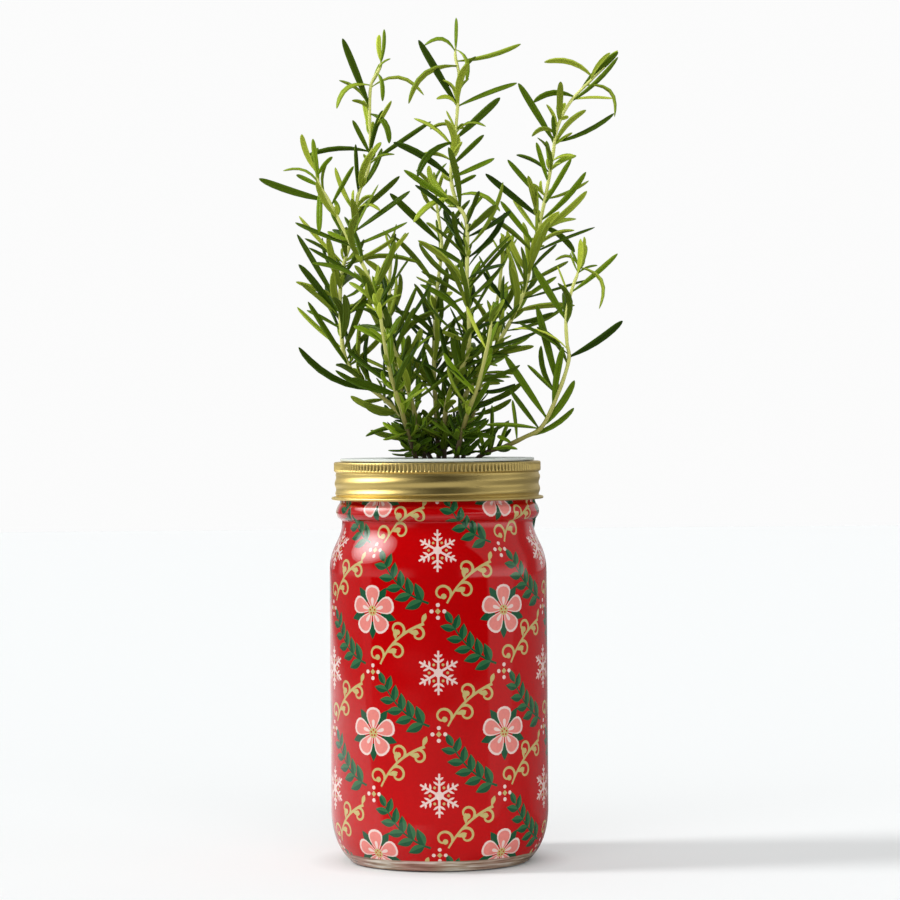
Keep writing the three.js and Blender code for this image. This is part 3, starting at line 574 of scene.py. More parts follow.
def add_softbox():
    """A softbox that shows in glossy surfaces only and grows brighter to its middle."""
    for step in range(SOFTBOX_STEPS):
        share = 1 - step / SOFTBOX_STEPS
        area = math.pi / 4 * SOFTBOX_WIDTH * SOFTBOX_HEIGHT * (share * MM) ** 2
        energy = SOFTBOX_GLOW / SOFTBOX_STEPS * math.pi * area
        lamp, away = add_lamp(f"key_box_{step}", "AREA", SOFTBOX_AZIMUTH, SOFTBOX_ELEVATION, energy)
        lamp.data.shape = "ELLIPSE"
        lamp.data.size = SOFTBOX_WIDTH * share * MM
        lamp.data.size_y = SOFTBOX_HEIGHT * share * MM
        lamp.location = away * (SOFTBOX_DISTANCE - step) * MM + Vector((0, 0, JAR_HEIGHT * MM))
        lamp.visible_diffuse = False
        lamp.visible_camera = False
        lamp.visible_transmission = False


# The world: white for the camera, even light for matt surfaces, and a studio for glossy ones.
# A line or an edge is the stretch of a direction's part over which one gloss goes into the next.
BACKDROP_WHITE = 0.97
AMBIENT = 0.4
SKEW = 0.185
FRONT_GLOSS = 0.005
NEAR_TABLE_GLOSS = 0.75
LEFT_GLOSS = 0.36
RIGHT_GLOSS = 0.47
REAR_GLOSS = 0.15
RIM_GLOSS = 0.65
LEFT_BAND_GLOSS = 0.8
RIGHT_BAND_GLOSS = 1.8
NEAR_TABLE_LINE = (-0.5, -0.2)
TABLE_LINE = (-0.09, -0.078)
SIDES = (-0.6, 0.6)
FRONT_EDGE = (-0.47, -0.41)
REAR_EDGE = (0.45, 0.6)
BAND_FRONT_EDGE = (-0.95, -0.76)
BAND_REAR_EDGE = (0.4, 0.55)
BAND_FOOT_LINE = (-0.024, -0.012)
BAND_TOP_LINE = (0.02, 0.22)
RIM_EDGE = (0.72, 0.86)


def light_world():
    """White backdrop, even fill light, and for the glossy surfaces pale sides and a dark front.
    The dark part starts further to the front on the right than on the left, by SKEW.
    Above the table's line the sides are brighter, and the backdrop behind the jar is pale."""
    world = bpy.data.worlds.new("studio")
    bpy.context.scene.world = world
    world.use_nodes = True
    tree = world.node_tree
    tree.nodes.clear()
    path = add_node(tree, "LightPath")
    direction = add_node(tree, "TexCoord").outputs["Generated"]
    split = add_node(tree, "SeparateXYZ", Vector=direction)
    x, y, z = [split.outputs[axis] for axis in "XYZ"]
    skewed = add_node(tree, "VectorMath")
    skewed.operation = "DOT_PRODUCT"
    put(skewed, 0, direction)
    put(skewed, 1, (SKEW, 1, 0))
    across = skewed.outputs["Value"]

    def spread(value, edge, start, end):
        node = add_node(tree, "MapRange", Value=value, From_Min=edge[0], From_Max=edge[1],
                        To_Min=start, To_Max=end)
        node.interpolation_type = "SMOOTHSTEP"
        return node.outputs["Result"]

    table = spread(z, NEAR_TABLE_LINE, NEAR_TABLE_GLOSS, TABLE_GLOSS)
    front = spread(z, TABLE_LINE, table, FRONT_GLOSS)
    sides = spread(x, SIDES, LEFT_GLOSS, RIGHT_GLOSS)
    low = spread(across, FRONT_EDGE, front, sides)
    low = spread(across, REAR_EDGE, low, REAR_GLOSS)
    strips = spread(x, SIDES, LEFT_BAND_GLOSS, RIGHT_BAND_GLOSS)
    strips = spread(y, BAND_FRONT_EDGE, FRONT_GLOSS, strips)
    strips = spread(across, BAND_REAR_EDGE, strips, REAR_GLOSS)
    high = spread(z, BAND_TOP_LINE, strips, low)
    high = spread(across, RIM_EDGE, high, RIM_GLOSS)
    gloss = spread(z, BAND_FOOT_LINE, low, high)

    def background(strength):
        node = add_node(tree, "Background", Color=(1, 1, 1, 1), Strength=strength)
        return node.outputs["Background"]

    white = background(BACKDROP_WHITE)
    light = blend(tree, path.outputs["Is Glossy Ray"], background(AMBIENT), background(gloss))
    light = blend(tree, path.outputs["Is Transmission Ray"], light, white)
    light = blend(tree, path.outputs["Is Camera Ray"], light, white)
    add_node(tree, "OutputWorld", Surface=light)


# Glass jar

def heel_line():
    """The glass's outer line from its foot ring to the heel."""
    return bezier(5, (FOOT_RADIUS - 1, 0), (FOOT_RADIUS + 0.4, 0), (FOOT_RADIUS + 1, 1))


def outer_line():
    """The glass's outer line from the heel to the lip."""
    line = [(FOOT_RADIUS + 1, 1)]
    belly = (BODY_RADIUS - 0.4, HEEL_HEIGHT * 0.36)
    line += bezier(14, line[-1], belly, (BODY_RADIUS, HEEL_HEIGHT))
    line.append((BODY_RADIUS, SHOULDER_Z))
    height = THROAT_Z - SHOULDER_Z
    line += bezier(18, line[-1], (BODY_RADIUS, SHOULDER_Z + height * 0.57),
                   (THROAT_RADIUS, SHOULDER_Z + height * 0.61), (THROAT_RADIUS, THROAT_Z))
    line.append((THROAT_RADIUS, THROAT_TOP_Z))
    undercut = THROAT_TOP_Z + (BEAD_Z - THROAT_TOP_Z) * 0.2
    line += bezier(8, line[-1], (BEAD_RADIUS, undercut), (BEAD_RADIUS, BEAD_Z))
    brow = BEAD_Z + (BEAD_TOP_Z - BEAD_Z) * 0.55
    line += bezier(8, line[-1], (BEAD_RADIUS, brow), (NECK_RADIUS, BEAD_TOP_Z))
    line.append((NECK_RADIUS, JAR_HEIGHT - LIP_ROUND))
    return line


def inner_line():
    """The glass's inner line from the lip to its floor."""
    inside = BODY_RADIUS - GLASS_WALL
    shoulder = SHOULDER_Z + (THROAT_Z - SHOULDER_Z) * 0.47
    line = [(MOUTH_RADIUS, JAR_HEIGHT - LIP_ROUND), (MOUTH_RADIUS, THROAT_Z)]
    line += bezier(14, line[-1], (MOUTH_RADIUS, shoulder), (inside, shoulder),
                   (inside, SHOULDER_Z - GLASS_WALL))
    line.append((inside, FLOOR_Z + FLOOR_ROUND))
    line += bezier(8, line[-1], (inside, FLOOR_Z), (inside - FLOOR_ROUND, FLOOR_Z))
    return line


def make_glass():
    foot_edge = FOOT_RADIUS - FOOT_WIDTH
    lip = bezier(6, (NECK_RADIUS, JAR_HEIGHT - LIP_ROUND), (NECK_RADIUS, JAR_HEIGHT),
                 (NECK_RADIUS - LIP_ROUND, JAR_HEIGHT))
    lip += bezier(6, (MOUTH_RADIUS + LIP_ROUND, JAR_HEIGHT), (MOUTH_RADIUS, JAR_HEIGHT),
                  (MOUTH_RADIUS, JAR_HEIGHT - LIP_ROUND))
    foot = [(0, PUSH_UP), (foot_edge - 6, PUSH_UP)]
    foot += bezier(6, foot[-1], (foot_edge - 1, PUSH_UP), (foot_edge, 0))
    body = outer_line()
    neck = spaced(body[-2:], 0.35)
    profile = [*foot, (FOOT_RADIUS - 1, 0), *heel_line(), *body[1:-2], *neck, *lip,
               *inner_line()[1:], (0, FLOOR_Z)]

    def thread(angle, r, z):
        if r < NECK_RADIUS - 0.01 or z < BEAD_TOP_Z:
            return 0
        return THREAD_DEPTH * helix_bump(angle, z, THREAD_Z, THREAD_TURNS, THREAD_HALF_WIDTH)

    points, faces = revolve(profile, GLASS_COLUMNS, thread)
    jar = seal(add_object("jar_glass", points, faces, [glass_look()]))
    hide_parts("glass_jar")
    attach(jar, "jar")


# Printed sleeve

INKS = {
    "ground": (0.46, 0.0004, 0.0014),
    "green": (0.008, 0.075, 0.03),
    "leaf": (0.03, 0.135, 0.05),
    "gold": (0.50, 0.42, 0.16),
    "cream": (0.76, 0.58, 0.53),
    "pink": (0.72, 0.22, 0.19),
    # The hem's ink paints the glass foot's look: the red print seen through glass, with painted
    # glints.
    "painted_glass_hem": (0.36, 0.2, 0.155),
}
BACK_INK = (0.5, 0.05, 0.05)
INK_NAMES = list(INKS)
REPEATS = 5
PRINT_STEP = 1.6


def polar(angle, length=1.0):
    return Vector((math.cos(angle), math.sin(angle))) * length


def spot(centre, radius, corners=14):
    return [centre + polar(2 * math.pi * k / corners, radius) for k in range(corners)]


def blade(foot, tip, width, fullest=0.45, blunt=0.0, steps=8):
    """The outline of a slim leaf. fullest is where it is widest, and blunt rounds its tip."""
    along = tip - foot
    across = Vector((-along.y, along.x)).normalized() * width / 2

    def half(t):
        shape = math.sin(math.pi * t ** (math.log(0.5) / math.log(fullest)))
        return max(shape, blunt * math.sqrt(max(0, 1 - t)) if t > fullest else 0)

    shares = [k / steps for k in range(1, steps)]
    right = [foot + along * t - across * half(t) for t in shares]
    left = [foot + along * t + across * half(t) for t in reversed(shares)]
    return [foot, *right, tip, *left]


def stroke(line, start, end):
    """The outline of a drawn line whose width goes from start to end."""
    left, right = [], []
    for k, point in enumerate(line):
        along = (line[min(k + 1, len(line) - 1)] - line[max(k - 1, 0)]).normalized()
        across = Vector((-along.y, along.x)) * (start + (end - start) * k / (len(line) - 1)) / 2
        left.append(point + across)
        right.append(point - across)
    return right + left[::-1]


def bow(a, b, bend, steps):
    """Points of a curve from a to b that bows to the left by bend."""
    side = Vector((a.y - b.y, b.x - a.x)).normalized() * 2 * bend
    middle = (a + b) / 2 + side
    return [a, *[Vector(p) for p in bezier(steps, a, middle, b)]]


def laurel(a, b, bend):
    """A green stem with opposite pairs of two-tone leaves."""
    line = bow(a, b, bend, 20)
    shapes = [("green", stroke(line, 1.0, 0.6))]
    for k in (2, 6, 10, 14, 18, 20):
        along = (line[k] - line[k - 1]).normalized()
        for hand in (1, -1) if k < 20 else (0,):
            heading = math.atan2(along.y, along.x) + hand * 0.8
            length = 8.2 - 0.1 * k
            tip = line[k] + polar(heading, length)
            whole = blade(line[k], tip, length * 0.5)
            shapes.append(("green", whole))
            shapes.append(("leaf", whole[:len(whole) // 2 + 1]))
    return shapes


def curl(start, heading, hand, radius):
    """A spiral that leaves a point on a heading and winds up to one side, with a dot at its end."""
    centre = start + polar(heading + hand * math.pi / 2, radius)
    turns = np.linspace(0, 1.75 * math.pi, 22)
    line = [centre + polar(heading - hand * (math.pi / 2 - t), radius * (1 - 0.115 * t))
            for t in turns]
    return [("gold", stroke(line, 1.2, 0.7)), ("gold", spot(line[-1], 1.15, 12))]


def scroll(a, b, bend):
    """A gold line with curls to both sides and buds between them."""
    line = bow(a, b, bend, 24)
    shapes = [("gold", stroke(line, 0.8, 1.2))]
    hand = 1
    for k in (3, 9, 15, 21):
        along = (line[k] - line[k - 1]).normalized()
        heading = math.atan2(along.y, along.x)
        shapes += curl(line[k], heading + hand * 0.25, hand, 3.9 - 0.04 * k)
        bud = line[k + 2] + polar(heading - hand * 0.75, 5.0)
        shapes.append(("gold", blade(line[k + 2], bud, 2.0, 0.62, 0.5, 6)))
        hand = -hand
    return shapes


def petal(centre, turn, inner, outer, width, steps=18):
    """A round-ended petal from inner to outer along a direction."""
    along, across = polar(turn), polar(turn + math.pi / 2)
    outline = []
    for k in range(steps):
        a = 2 * math.pi * k / steps
        out = inner + (outer - inner) * (0.5 - 0.5 * math.cos(a))
        full = math.sin(a) * (0.62 - 0.38 * math.cos(a))
        outline.append(centre + along * out - across * (full * width / 2))
    return outline


def blossom(centre, radius):
    """A five-petalled flower with a paler edge, a gold heart and leaves between its petals."""
    shapes = []
    turns = [2 * math.pi * (k / 5 + 0.25) for k in range(5)]
    for turn in turns:
        side = turn + math.pi / 5
        foot, tip = [centre + polar(side, radius * share) for share in (0.4, 1.12)]
        shapes.append(("green", blade(foot, tip, radius * 0.34)))
    for turn in turns:
        shapes.append(("cream", petal(centre, turn, radius * 0.08, radius, radius * 0.98)))
        shapes.append(("pink", petal(centre, turn, radius * 0.12, radius * 0.91, radius * 0.8)))
        shapes.append(("cream", petal(centre, turn, radius * 0.15, radius * 0.52, radius * 0.2)))
    shapes.append(("gold", spot(centre, radius * 0.2, 16)))
    for turn in turns:
        shapes.append(("ground", spot(centre + polar(turn, radius * 0.11), radius * 0.04, 6)))
    return shapes


def frost_star(centre, radius):
    """A six-armed star with barbs and dots."""
    shapes = []
    for k in range(6):
        turn = math.pi * (k / 3 + 1 / 6)
        arm = [centre + polar(turn, radius * t) for t in (0.1, 0.4, 0.7, 1.0)]
        shapes.append(("cream", stroke(arm, 1.0, 0.8)))
        for t, length in ((0.45, 0.34), (0.7, 0.24)):
            root = centre + polar(turn, radius * t)
            for hand in (1, -1):
                tip = root + polar(turn + hand * 0.95, radius * length)
                shapes.append(("cream", blade(root, tip, 0.95, 0.5, 0.6, 4)))
        shapes.append(("gold", spot(centre + polar(turn + math.pi / 6, radius * 0.42), 0.6, 8)))
    shapes.append(("cream", spot(centre, radius * 0.2, 16)))
    return shapes


CELL_HEIGHT = 50.0
FIRST_ROW = 8.9
BLOSSOM_RADIUS = 10.5
STAR_RADIUS = 9.0
SPRAY_SHARES = (0.13, 0.8)
SPRAY_BEND = 2.6


def repeat_shapes(width, height):
    """One repeat of a trellis of sprays with a flower or a star in each opening."""
    shapes = []
    half = Vector((width / 2, CELL_HEIGHT / 2))
    rows = math.ceil(height / half.y) + 2
    for row in range(-1, rows):
        for column in range(-1, 4):
            centre = Vector((column * half.x, FIRST_ROW + row * half.y))
            if (row + column) % 2:
                for k in range(4):
                    shapes.append(("cream", spot(centre + polar(math.pi * k / 2, 2.6), 0.85, 10)))
                shapes.append(("gold", spot(centre, 1.2, 4)))
                continue
            right, left = centre + Vector((half.x, 0)), centre - Vector((half.x, 0))
            top = centre + Vector((0, half.y))
            low, high = SPRAY_SHARES
            shapes += laurel(right.lerp(top, low), right.lerp(top, high), SPRAY_BEND)
            shapes += scroll(left.lerp(top, low), left.lerp(top, high), SPRAY_BEND)
            if row % 2:
                shapes += frost_star(centre, STAR_RADIUS)
            else:
                shapes += blossom(centre, BLOSSOM_RADIUS)
    return shapes


def cut_repeat(width, height, painted_glass_hem):
    """The triangles of one repeat: its points, and each face with its ink.
    The hem, whose ink paints the look of the glass foot, is at the foot."""
    points, edges, outlines, inks = [], [], [], []

    def add_outline(outline, ink):
        first = len(points)
        points.extend(outline)
        ids = list(range(first, len(points)))
        edges.extend(zip(ids, ids[1:] + ids[:1]))
        outlines.append(ids)
        inks.append(INK_NAMES.index(ink))

    columns, rows = round(width / PRINT_STEP), round(height / PRINT_STEP)
    us = [width * k / columns for k in range(columns + 1)]
    vs = [height * k / rows for k in range(rows + 1)]
    border = [Vector((u, 0)) for u in us[:-1]] + [Vector((width, v)) for v in vs[:-1]]
    border += [Vector((u, height)) for u in us[:0:-1]] + [Vector((0, v)) for v in vs[:0:-1]]
    add_outline(border, "ground")
    for ink, outline in repeat_shapes(width, height):
        xs, ys = [p.x for p in outline], [p.y for p in outline]
        if max(xs) > 0 and min(xs) < width and max(ys) > 0 and min(ys) < height:
            add_outline(outline, ink)
    add_outline([Vector(p) for p in ((0, 0), (width, 0), (width, painted_glass_hem), (0, painted_glass_hem))], "painted_glass_hem")
    points.extend(Vector((u, v)) for u in us[1:-1] for v in vs[1:-1])
    found, _, faces, _, _, sources = delaunay_2d_cdt(points, edges, outlines, 0, 1e-5)
    return found, [(f, inks[max(source)]) for f, source in zip(faces, sources) if 0 in source]


def sleeve_path():
    """Distance run, radius and height along the film's outer side, and its normals."""
    line = spaced(heel_line() + outer_line()[1:], 0.4)
    line = np.array([p for p in line if HEM_FOOT <= p[1] <= SLEEVE_TOP])
    along = np.gradient(line, axis=0)
    along /= np.linalg.norm(along, axis=1)[:, None]
    normal = np.column_stack([along[:, 1], -along[:, 0]])
    outer = line + normal * (SLEEVE_GAP + SLEEVE_FILM)
    run = np.concatenate([[0], np.cumsum(np.linalg.norm(np.diff(outer, axis=0), axis=1))])
    return run, outer, normal


def make_sleeve():
    run, outer, normal = sleeve_path()
    radius = BODY_RADIUS + SLEEVE_GAP + SLEEVE_FILM
    width = 2 * math.pi * radius / REPEATS
    painted_glass_hem = float(np.interp(SLEEVE_FOOT, outer[:, 1], run))
    flat, faces = cut_repeat(width, run[-1], painted_glass_hem)
    u = np.array([p.x for p in flat])
    v = np.array([p.y for p in flat])
    r, z = np.interp(v, run, outer[:, 0]), np.interp(v, run, outer[:, 1])
    tilt_r, tilt_z = np.interp(v, run, normal[:, 0]), np.interp(v, run, normal[:, 1])
    points, normals, picks, all_faces = [], [], [], []
    for k in range(REPEATS):
        angle = math.pi / 2 + (u + k * width) / radius
        from_seam = np.minimum(u + k * width, 2 * math.pi * radius - u - k * width)
        lift = SEAM_RISE * np.clip((SEAM_WIDTH / 2 - from_seam) / 0.4, 0, 1)
        direction = np.column_stack([tilt_r * np.cos(angle), tilt_r * np.sin(angle), tilt_z])
        place = np.column_stack([r * np.cos(angle), r * np.sin(angle), z])
        first = len(flat) * k
        points.append(place + direction * lift[:, None])
        normals.append(direction)
        all_faces += [tuple(i + first for i in face) for face, _ in faces]
        picks += [ink for _, ink in faces]
    points, normals = np.concatenate(points), np.concatenate(normals)
    obj = close_film(points, normals, all_faces, picks)
    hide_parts("printed_sleeve")
    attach(obj, "jar")


def close_film(points, normals, faces, picks):
    """A film with an inner side and edges, from its outer triangles.
    The repeats are welded first."""
    keys = {}
    order = np.round(points, 3)
    merged = np.array([keys.setdefault(tuple(p), len(keys)) for p in order.tolist()])
    spread = np.zeros((len(keys), 3))
    facing = np.zeros((len(keys), 3))
    spread[merged] = points
    facing[merged] = normals
    count = len(keys)
    tris = [tuple(merged[list(face)]) for face in faces]
    solid = [(tri, ink) for tri, ink in zip(tris, picks) if len(set(tri)) == 3]
    edges = dict.fromkeys(edge for tri, _ in solid for edge in zip(tri, tri[1:] + tri[:1]))
    rim = [(a, b) for a, b in edges if (b, a) not in edges]
    back = len(INK_NAMES)
    every = [tri for tri, _ in solid]
    every += [tuple(i + count for i in reversed(tri)) for tri, _ in solid]
    every += [(b, a, a + count, b + count) for a, b in rim]
    inks = [ink for _, ink in solid] + [back] * (len(solid) + len(rim))
    looks = [ink_look(name, colour) for name, colour in INKS.items()]
    looks.append(ink_look("back", BACK_INK))
    both = np.concatenate([spread, spread - facing * SLEEVE_FILM])
    obj = add_object("sleeve_film", both, [tuple(int(i) for i in f) for f in every], looks, inks)
    turned = np.concatenate([facing, -facing])
    loops = [tuple(turned[i]) for f in every[: 2 * len(solid)] for i in f]
    for face in obj.data.polygons[2 * len(solid):]:
        loops += [tuple(face.normal)] * len(face.vertices)
    obj.data.normals_split_custom_set(loops)
    return obj


# Screw band

def make_band():
    """Rolled sheet with a curled foot, a bulge along the thread and a knurled skirt at its top."""
    knurl_foot = BAND_TOP_Z - KNURL_HEIGHT
    curl_z = BAND_FOOT_Z + CURL_RADIUS
    under = BAND_TOP_Z - BAND_SHEET
    round_in, round_down = TOP_ROUND
    curl = [(CURL_EDGE - CURL_RADIUS + CURL_RADIUS * math.cos(a),
             curl_z + CURL_RADIUS * math.sin(a))
            for a in np.linspace(-0.6 * math.pi, 0.45 * math.pi, 9)]
    low, high = curl_z + 1.5 * CURL_RADIUS, knurl_foot - SKIRT_STEP
    wall = spaced([(BAND_WALL, low), (BAND_WALL, high)], 0.3)
    knurl = spaced([(KNURL_RADIUS, knurl_foot), (KNURL_RADIUS, BAND_TOP_Z - round_down)], 0.45)
    shoulder = bezier(5, knurl[-1], (KNURL_RADIUS, BAND_TOP_Z),
                      (KNURL_RADIUS - round_in, BAND_TOP_Z))
    inside = spaced([(BAND_INNER, under), (BAND_INNER, curl_z + 0.5)], 0.4)
    profile = [(BAND_INNER, curl_z + 0.5), (BAND_INNER + 0.7, BAND_FOOT_Z + 0.15), *curl, *wall,
               *knurl, *shoulder, (BAND_OPENING + 0.2, BAND_TOP_Z), (BAND_OPENING, under + 0.2),
               (BAND_OPENING + 0.2, under), *inside]

    def shift(angle, r, z):
        if abs(r - BAND_INNER) < 0.01:
            ridge_z = THREAD_Z - THREAD_PITCH / 2
            ridge = helix_bump(angle, z, ridge_z, THREAD_TURNS, RIDGE_HALF_WIDTH)
            return -RIDGE_REACH * ridge
        if abs(r - BAND_WALL) < 0.01:
            phase = (z - BULGE_Z) / THREAD_PITCH - angle / (2 * math.pi)
            wave = 0.5 + 0.5 * math.cos(2 * math.pi * phase)
            return (BAND_BULGE * wave * ease(wall[0][1], wall[0][1] + BULGE_FADE, z)
                    * ease(wall[-1][1], wall[-1][1] - BULGE_FADE, z))
        if abs(r - KNURL_RADIUS) < 0.01:
            cut = 0.5 - 0.5 * math.cos(KNURL_COUNT * angle)
            ends = (ease(knurl_foot, knurl_foot + KNURL_FADE, z)
                    * ease(BAND_TOP_Z - 0.5, BAND_TOP_Z - 1.2, z))
            return -KNURL_DEPTH * (1 - cut) ** KNURL_SLIMNESS * ends
        return 0

    points, faces = revolve(profile, KNURL_COUNT * KNURL_COLUMNS, shift)
    band = seal(add_object("band_gold", points, faces, [gold_look()]), BAND_CREASE)
    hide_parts("screw_band")
    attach(band, "band")


# Lid disc, net pot, medium and wick

def make_lid(look):
    profile = rounded([
        (POT_HOLE, LID_PLUG_Z, 0.3), (LID_PLUG_RADIUS, LID_PLUG_Z, 0.5),
        (LID_PLUG_RADIUS, LID_SEAT_Z, 0.2), (LID_RADIUS, LID_SEAT_Z, 0.3),
        (LID_RADIUS, LID_TOP_Z, 0.35), (POT_RECESS, LID_TOP_Z, 0.2),
        (POT_RECESS, POT_SHELF_Z, 0.15), (POT_HOLE, POT_SHELF_Z, 0.2),
    ])
    points, faces = revolve(profile + profile[:1], LID_COLUMNS)
    lid = seal(add_object("lid_white", points, faces, [look]))
    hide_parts("lid_disc")
    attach(lid, "lid")


def pot_inside(z):
    """The pot's inner radius at a height."""
    share = (z - POT_FOOT_Z - POT_FLOOR) / (LID_TOP_Z - POT_FOOT_Z - POT_FLOOR)
    return POT_FOOT_RADIUS + (POT_TOP_RADIUS - POT_FOOT_RADIUS) * share - POT_WALL


def prism(outline, low, high):
    """A closed prism over an outline in X and Y."""
    count = len(outline)
    points = [(x, y, z) for z in (low, high) for x, y in outline]
    faces = [tuple(reversed(range(count))), tuple(range(count, 2 * count))]
    faces += [(k, (k + 1) % count, count + (k + 1) % count, count + k) for k in range(count)]
    return points, faces


def pot_cutters():
    """Tall slots with round ends around the wall, drain holes and the wick's hole in the floor."""
    points, faces = [], []
    half = SLOT_WIDTH / 2
    for k in range(SLOT_COUNT):
        turn = 2 * math.pi * k / SLOT_COUNT
        ends = [Vector((half * math.cos(a), SLOT_HEAD_Z - half + half * math.sin(a)))
                for a in np.linspace(0, math.pi, 7)]
        ends += [Vector((half * math.cos(a), SLOT_FOOT_Z + half + half * math.sin(a)))
                 for a in np.linspace(math.pi, 2 * math.pi, 7)]
        flat, sides = prism([(p.x, p.y) for p in ends], POT_FOOT_RADIUS - SLOT_MARGIN,
                            POT_TOP_RADIUS + SLOT_MARGIN)
        c, s = math.cos(turn), math.sin(turn)
        slot = [(out * c - side * s, out * s + side * c, z) for side, z, out in flat]
        join(points, faces, slot, sides)
    low, high = POT_FOOT_Z - FLOOR_MARGIN, POT_FOOT_Z + FLOOR_MARGIN
    for k in range(DRAIN_COUNT):
        centre = polar(2 * math.pi * (k + 0.5) / DRAIN_COUNT, DRAIN_CIRCLE)
        hole = [tuple(p) for p in spot(centre, DRAIN_RADIUS, 20)]
        join(points, faces, *prism(hole, low, high))
    x, y = WICK_WIDTH / 2 + WICK_HOLE_GAP, WICK_THICKNESS / 2 + WICK_HOLE_GAP
    join(points, faces, *prism([(-x, -y), (x, -y), (x, y), (-x, y)], low, high))
    return points, faces


def make_pot(look):
    seat, floor = LID_TOP_Z - POT_FLANGE, POT_FOOT_Z + POT_FLOOR
    profile = rounded([
        (0, POT_FOOT_Z, 0), (POT_FOOT_RADIUS, POT_FOOT_Z, 1.2), (POT_TOP_RADIUS, seat, 0.3),
        (POT_FLANGE_RADIUS, seat, 0.3), (POT_FLANGE_RADIUS, LID_TOP_Z, 0.4),
        (pot_inside(LID_TOP_Z), LID_TOP_Z, 0.5), (pot_inside(floor), floor, 0.8), (0, floor, 0),
    ])
    points, faces = revolve(profile, POT_COLUMNS)
    pot = seal(add_object("pot_net", points, faces, [look]))
    cutter = seal(add_object("pot_cutter", *pot_cutters(), []))
    cut = pot.modifiers.new("slots", "BOOLEAN")
    cut.object = cutter
    cut.operation = "DIFFERENCE"
    cut.solver = "EXACT"
    bpy.context.view_layer.objects.active = pot
    bpy.ops.object.modifier_apply(modifier="slots")
    bpy.data.objects.remove(cutter)
    pot.data.set_sharp_from_angle(angle=math.radians(CREASE))
    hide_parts("net_pot")
    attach(pot, "planter")


def tube(line, radii, sides):
    """Points and faces of a closed round tube along a line."""
    points = []
    side = Vector((1, 0, 0))
    for k, place in enumerate(line):
        along = (line[min(k + 1, len(line) - 1)] - line[max(k - 1, 0)]).normalized()
        side = side - along * side.dot(along)
        if side.length < 1e-3:
            side = along.orthogonal()
        side.normalize()
        back = along.cross(side)
        for j in range(sides):
            a = 2 * math.pi * j / sides
            points.append(tuple(place + (side * math.cos(a) + back * math.sin(a)) * radii[k]))
    return points, skin(len(line), sides)


FIBRE_COUNT = 260
FIBRE_RADIUS = 0.16
FIBRE_SEEDS = range(7000, 10000, 500)


def make_medium(look):
    """A rough coir plug with loose fibres on its top."""
    shoulder = MEDIUM_TOP_Z - MEDIUM_CROWN
    edge = pot_inside(shoulder) - MEDIUM_GAP
    foot = pot_inside(MEDIUM_FOOT_Z) - MEDIUM_GAP
    line = [(0, MEDIUM_FOOT_Z), (foot, MEDIUM_FOOT_Z), (edge, shoulder), (edge / 2, MEDIUM_TOP_Z),
            (0, MEDIUM_TOP_Z)]
    points, faces = revolve(spaced(line, 1.4), MEDIUM_COLUMNS)
    rough = []
    for x, y, z in points:
        place = Vector((x, y, z))
        depth = 0.5 + 0.5 * noise.noise(place * 0.45) + 0.5 * noise.noise(place * 1.3)
        out = Vector((x, y, 0)).normalized() if z < shoulder else Vector((0, 0, 1))
        rough.append(tuple(place - out * min(MEDIUM_ROUGHNESS, max(0, depth))))
    for k in range(FIBRE_COUNT):
        around, out, aim, size, bend, rise = [scatter(k + seed) for seed in FIBRE_SEEDS]
        place = polar(2 * math.pi * around, math.sqrt(out) * (edge - 3))
        heading = 2 * math.pi * aim
        half = (3 + 5 * size) / 2
        start = Vector((*place, MEDIUM_TOP_Z - 0.9))
        middle = start + Vector((*polar(heading, half), 0.4 + 0.9 * rise))
        end = middle + Vector((*polar(heading + 1.6 * (bend - 0.5), half), -0.9))
        if any(math.hypot(p.x, p.y) >= edge - 0.5 for p in (start, middle, end)):
            continue
        path = [start, *[Vector(p) for p in bezier(4, start, middle, end)]]
        join(rough, faces, *tube(path, [FIBRE_RADIUS] * len(path), 4))
    medium = seal(add_object("coir_plug", rough, faces, [look]), MEDIUM_CREASE)
    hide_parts("grow_medium")
    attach(medium, "planter")


def make_wick(look):
    """A felt strip that hangs from the plug, a little wavy and soft at its edges."""
    x, y = WICK_WIDTH / 2, WICK_SHOWN_THICKNESS / 2
    corners = [(-x, -y), (x, -y), (x, y), (-x, y)]
    ring = rounded([(*corner, WICK_ROUND) for corner in corners], 3)
    ring = spaced(ring + ring[:1], 1.0)[:-1]
    points = []
    for k in range(WICK_ROWS + 1):
        z = WICK_FOOT_Z + (WICK_TOP_Z - WICK_FOOT_Z) * k / WICK_ROWS
        for x, y in ring:
            fuzz = WICK_FUZZ * noise.noise(Vector((x, y * 3, z)) * 1.7)
            points.append((x * (0.99 + 0.1 * fuzz), y * (1 + fuzz), z))
    faces = skin(WICK_ROWS + 1, len(ring))
    wick = seal(add_object("wick_felt", points, faces, [look]))
    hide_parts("wick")
    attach(wick, "planter")


